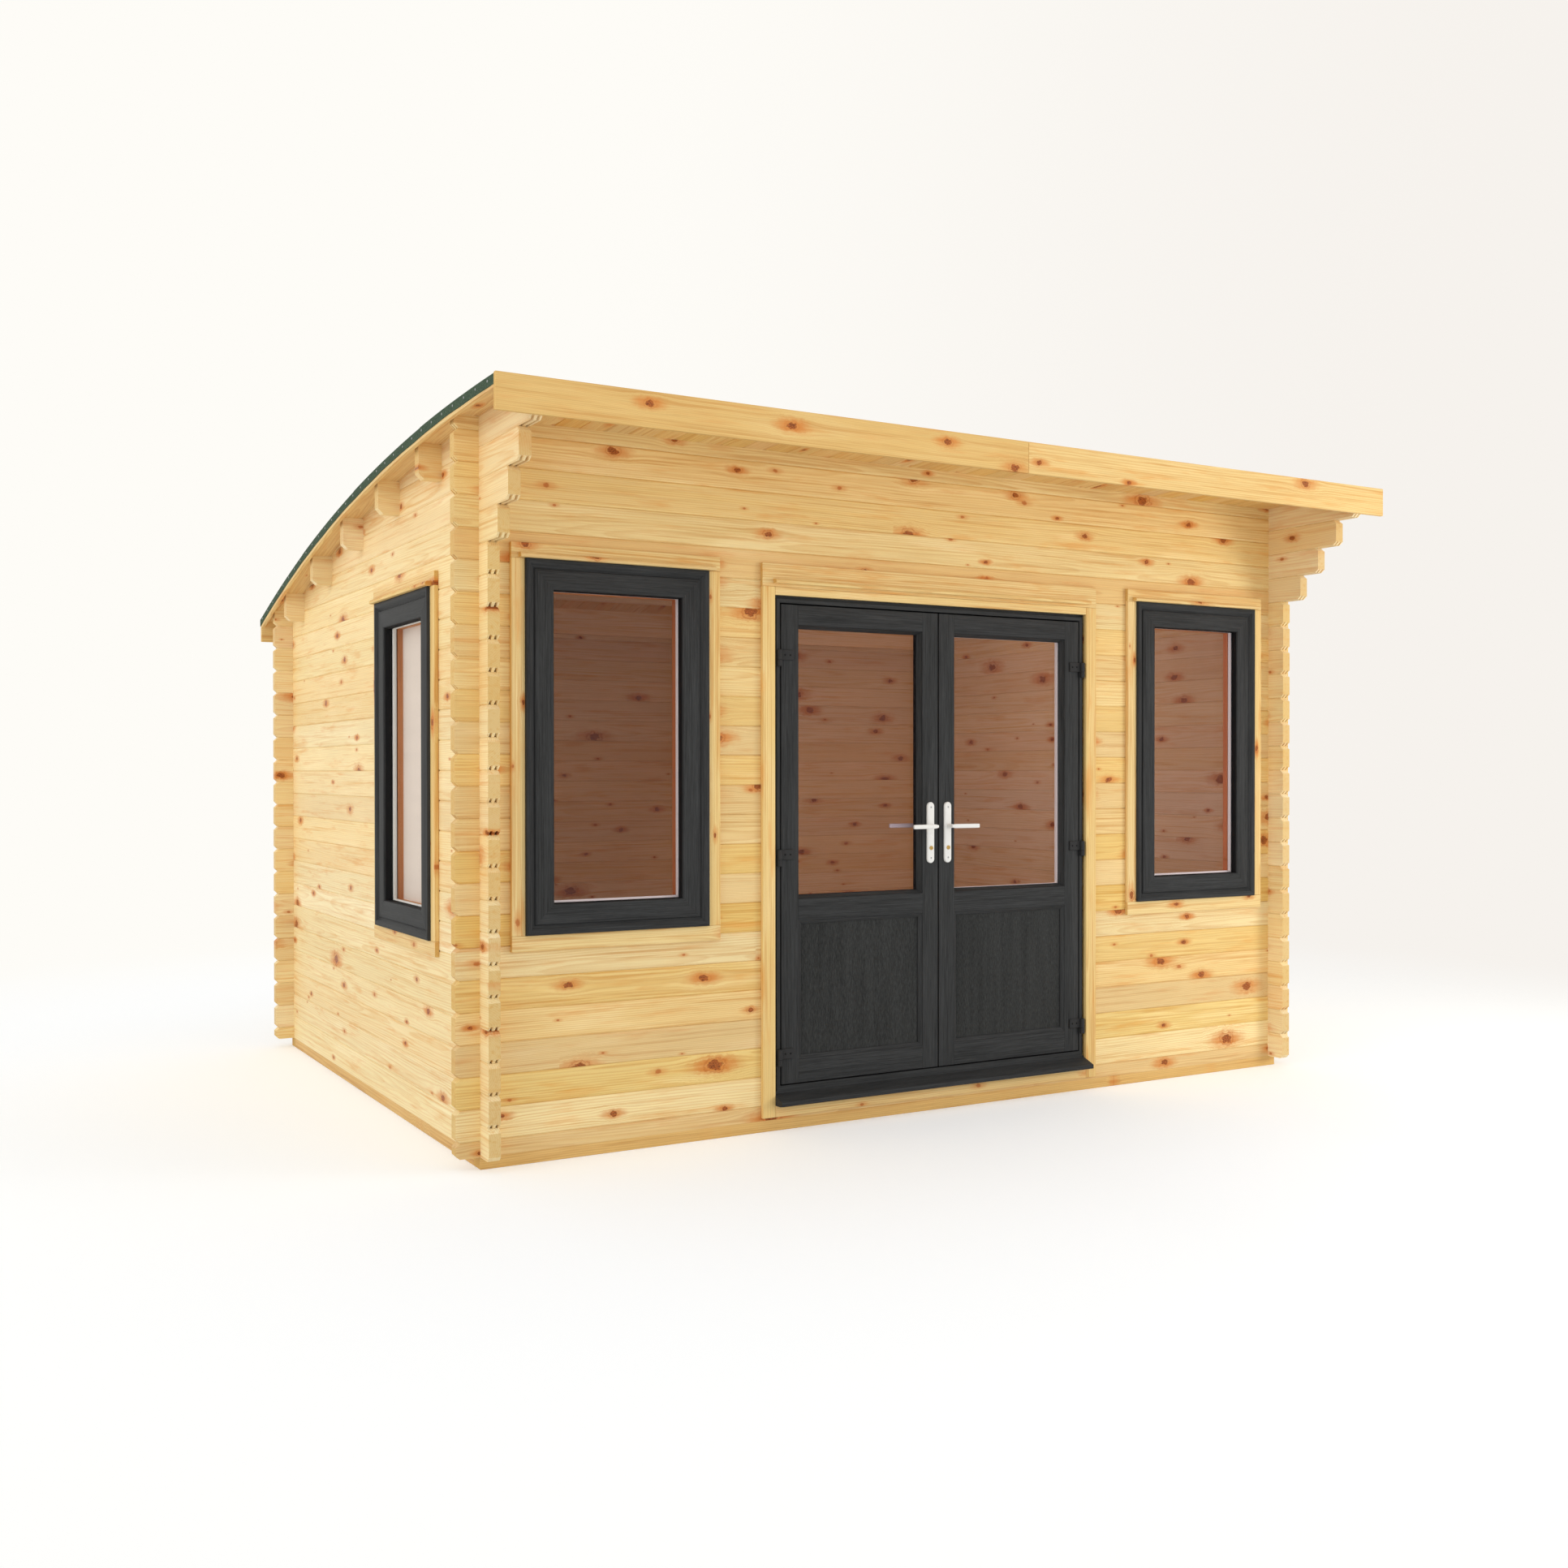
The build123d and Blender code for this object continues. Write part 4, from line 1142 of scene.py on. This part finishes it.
def build_handles(hand, side):
    """Both plates with the ends of the key cylinder and their screws, and the two levers on one spindle."""
    put = on_leaf(hand)
    cx = HANDLE_X
    sides = ((-PROUD, -1), (-PROUD + LEAF, 1))
    stock = Stock()
    for face, way in sides:
        stock.sweep([plate_ring(put, face, way, inset, out)
                     for inset, out in ((0.0, 0.0), (0.0, 0.0055), (0.0012, 0.0078), (0.0036, 0.0090))])
        turned(stock, put, cx, LEVER_Z, [(0.0128, 0.0088), (0.0128, 0.0092), (0.0120, 0.0094)], face, way)
        key = LEVER_Z - 0.090
        turned(stock, put, cx, key, [(0.0085, 0.0085), (0.0085, 0.0122), (0.0078, 0.0130)], face, way, mark=1)
        # A thin black slot laid on the cylinder's face: painted shade of the keyhole.
        painted_keyhole_shade = [(cx - 0.0009, key - 0.005), (cx + 0.0009, key - 0.005), (cx + 0.0009, key + 0.004),
                   (cx - 0.0009, key + 0.004)]
        stock.sweep([[(put(x, face + way * out, z), (0, 0, 0)) for x, z in painted_keyhole_shade] for out in (0.01262, 0.01302)],
                    mark=2)
        for z in (PLATE_Z + 0.105, PLATE_Z - 0.105):
            turned(stock, put, cx, z, [(0.0036, 0.0088), (0.0036, 0.0094), (0.0026, 0.0100)], face, way, 3, 12)
    stock.make(f"{side}_plates", [white, brass, seal_and_painted_shade, steel], body=f"{side}_door", nodes=[f"{side}_handle_plates"],
               slot="white_metal", angle=35.0)

    lever = Stock()
    steps = 14
    sections = {0: (0.0055, 0.0035), 1: (0.0080, 0.0046), steps: (0.0080, 0.0036)}
    for face, way in sides:
        turned(lever, put, cx, LEVER_Z, [(0.0100, 0.0100), (0.0086, 0.0125), (0.0080, 0.0200), (0.0080, 0.0380)],
               face, way)
        rings = []
        for k, x in enumerate(spaced(cx - 0.009, cx + LEVER, steps + 1)):
            out = 0.053 + 0.012 * max(0.0, (x - cx) / LEVER) ** 1.3
            tall, deep = sections.get(k, (0.0090, 0.0050))
            ring = []
            for ca, sa in ring_points(0.0, 0.0, 1.0, 16):
                dx = deep * math.copysign(abs(ca) ** 0.55, ca)
                dz = tall * math.copysign(abs(sa) ** 0.55, sa)
                ring.append((put(x, face + way * (out - 0.005 + dx), LEVER_Z + dz), (x, dz, dx)))
            rings.append(ring)
        lever.sweep(rings)
    turned(lever, put, cx, LEVER_Z, [(0.004, 0.0095), (0.004, -LEAF - 0.0095)])
    lever.make(f"{side}_lever_arms", [white], body=f"{side}_handle", nodes=[f"{side}_lever"], slot="white_metal",
               angle=35.0)


def build_hinges():
    """Three flag hinges for each leaf: the lower barrel stays on the frame, the upper one turns with the leaf."""
    pin_x = leaf_x0 + 0.014
    pin_y = -PROUD - 0.0103
    half_height = 0.0325
    fixed = Stock()

    def barrel(stock, put, z0, z1):
        upright(stock, put, [(z, ring_points(pin_x, pin_y, r)) for z, r in (
            (z0, 0.0088), (z0 + 0.0012, 0.0100), (z1 - 0.0012, 0.0100), (z1, 0.0088))])

    for hand, side in ((-1, "left"), (1, "right")):
        flags = Stock()
        put = on_leaf(hand)
        for z in (0.287, 1.069, 1.852):
            low, high = z - half_height, z + half_height
            cut = low + 0.025
            barrel(fixed, put, low, cut - 0.0003)
            foot = rounded(pin_x - 0.005, pin_x + 0.005, -PROUD - 0.006, -PROUD, 0.0008)
            upright(fixed, put, ((low + 0.001, foot), (cut - 0.0013, foot)))
            barrel(flags, put, cut, high)
            flag = rounded(leaf_x0 - 0.052, leaf_x0, -PROUD - 0.006, -PROUD, 0.0014)
            small = shrunk(flag, 0.0012)
            upright(flags, put, ((cut, small), (cut + 0.0012, flag), (high - 0.0012, flag), (high, small)))
            arm = rounded(leaf_x0 - 0.002, pin_x, -PROUD - 0.006, -PROUD - 0.0004, 0.0008)
            upright(flags, put, ((cut + 0.0006, arm), (high - 0.0006, arm)))
            for x in (leaf_x0 - 0.014, leaf_x0 - 0.038):
                turned(flags, put, x, (cut + high) / 2, [(0.0040, 0.0056), (0.0040, 0.0064), (0.0028, 0.0072)],
                       mark=1, count=12)
        flags.make(f"{side}_hinge_leaves", [hinge_metal, seal_and_painted_shade], body=f"{side}_door", nodes=[f"{side}_hinge_flags"],
                   slot="hinge_metal", angle=35.0)
    fixed.make("hinge_barrels", [hinge_metal], nodes=["door_hinge_knuckles"], slot="hinge_metal", angle=35.0)


for hand, side in ((-1, "left"), (1, "right")):
    build_leaf(hand, side)
    build_handles(hand, side)
build_hinges()

# ---------------------------------------------------------------- floor, light and camera
scene = bpy.context.scene


def backdrop(net, across):
    """Its tone from left to right, darker towards the right: a painted falloff of light."""
    return net.mix(net.ramp(across, 0.35, 0.80), tone(254, 252, 247), tone(246, 242, 237))


def stage_floor():
    """A pale ground that fades into the backdrop."""
    mesh = bpy.data.meshes.new("studio_floor")
    s = 60.0
    mesh.from_pydata([(-s, -s, 0), (s, -s, 0), (s, s, 0), (-s, s, 0)], [], [(0, 1, 2, 3)])
    floor = bpy.data.objects.new("studio_floor", mesh)
    scene.collection.objects.link(floor)
    net = new_net("studio_floor")
    path = net.node("ShaderNodeLightPath")
    x, y, _ = net.split(net.object_place())
    away = net.length(x, y)
    far = net.ramp(away, 3.2, 7.0)
    pale = net.mix(net.ramp(x, 0.5, 5.5), (0.88, 0.93, 0.975, 1.0), (0.86, 0.89, 0.90, 1.0))
    diffuse = net.shader("BsdfDiffuse", Color=pale)
    bright = net.shader("Emission", Color=backdrop(net, x / away), Strength=1.0)
    lift = net.shader("Emission", Color=(0.985, 0.95, 0.955, 1.0), Strength=0.26)
    dim = net.shader("Emission", Color=(0.0, 0.0, 0.0, 1.0), Strength=0.0)
    seen = net.blend(net.term(path, "Is Camera Ray"), dim, lift)
    lifted = net.term(net.node("ShaderNodeAddShader", {0: diffuse, 1: seen}))
    mesh.materials.append(net.finish(net.blend(far, lifted, bright)))


stage_floor()

# the world lights evenly, and is seen as the backdrop
scene.world = bpy.data.worlds.new("studio")
net = Net(scene.world)
direction = net.term(net.node("ShaderNodeTexCoord"), "Generated")
even = net.shader("Background", Color=(1.0, 0.985, 0.96, 1.0), Strength=0.76)
seen = net.shader("Background", Color=backdrop(net, net.split(direction)[0]), Strength=1.0)
path = net.node("ShaderNodeLightPath")
looked = net.math("MAXIMUM", net.term(path, "Is Camera Ray"), net.term(path, "Is Glossy Ray"))
looked = net.math("MAXIMUM", looked, net.term(path, "Is Transmission Ray"))
net.finish(net.blend(looked, even, seen), "World")


def lamp(name, kind, place, target, energy, size, colour=(1.0, 0.97, 0.92)):
    data = bpy.data.lights.new(name, kind)
    data.energy = energy
    data.color = colour
    if kind == "AREA":
        data.shape = "DISK"
        data.size = size
    else:
        data.angle = size
    light = bpy.data.objects.new(name, data)
    light.location = place
    way = Vector(target) - Vector(place)
    light.rotation_euler = way.to_track_quat("-Z", "Y").to_euler()
    light.visible_camera = False
    light.visible_glossy = False
    scene.collection.objects.link(light)


SOFT_SUN = math.radians(50)
lamp("key", "SUN", (-8.0, -1.6, 3.2), (0.0, 0.0, 1.0), 0.90, SOFT_SUN)
lamp("fill", "SUN", (8.0, -5.0, 1.2), (0.0, 0.0, 1.0), 0.24, SOFT_SUN)
lamp("side_soft", "AREA", (5.2, -5.6, 1.7), (1.2, -1.3, 1.2), 122.0, 2.4)
lamp("room", "AREA", (0.2, 0.1, 1.95), (1.9, -0.10, 1.15), 9.0, 0.6, (0.92, 0.81, 0.90))

# the camera of the photo, from the fit
yaw, tilt, roll = 0.5242, -0.0077, -0.0008
focal_pixels, photo_pixels = 1921.966, 1932.0
forward = Vector((math.sin(yaw) * math.cos(tilt), math.cos(yaw) * math.cos(tilt), math.sin(tilt)))
level = Vector((math.cos(yaw), -math.sin(yaw), 0.0))
over = level.cross(forward)
right = level * math.cos(roll) + over * math.sin(roll)
up = over * math.cos(roll) - level * math.sin(roll)
camera_data = bpy.data.cameras.new("camera")
camera_data.sensor_width = 36.0
camera_data.lens = focal_pixels / photo_pixels * camera_data.sensor_width
camera_data.clip_end = 200.0
camera = bpy.data.objects.new("camera", camera_data)
turn = Matrix((right, up, -forward)).transposed().to_4x4()
camera.matrix_world = Matrix.Translation((-3.8036, -6.5714, 1.4060)) @ turn
scene.collection.objects.link(camera)
bpy.context.scene.camera = camera
scene.view_settings.view_transform = "Standard"
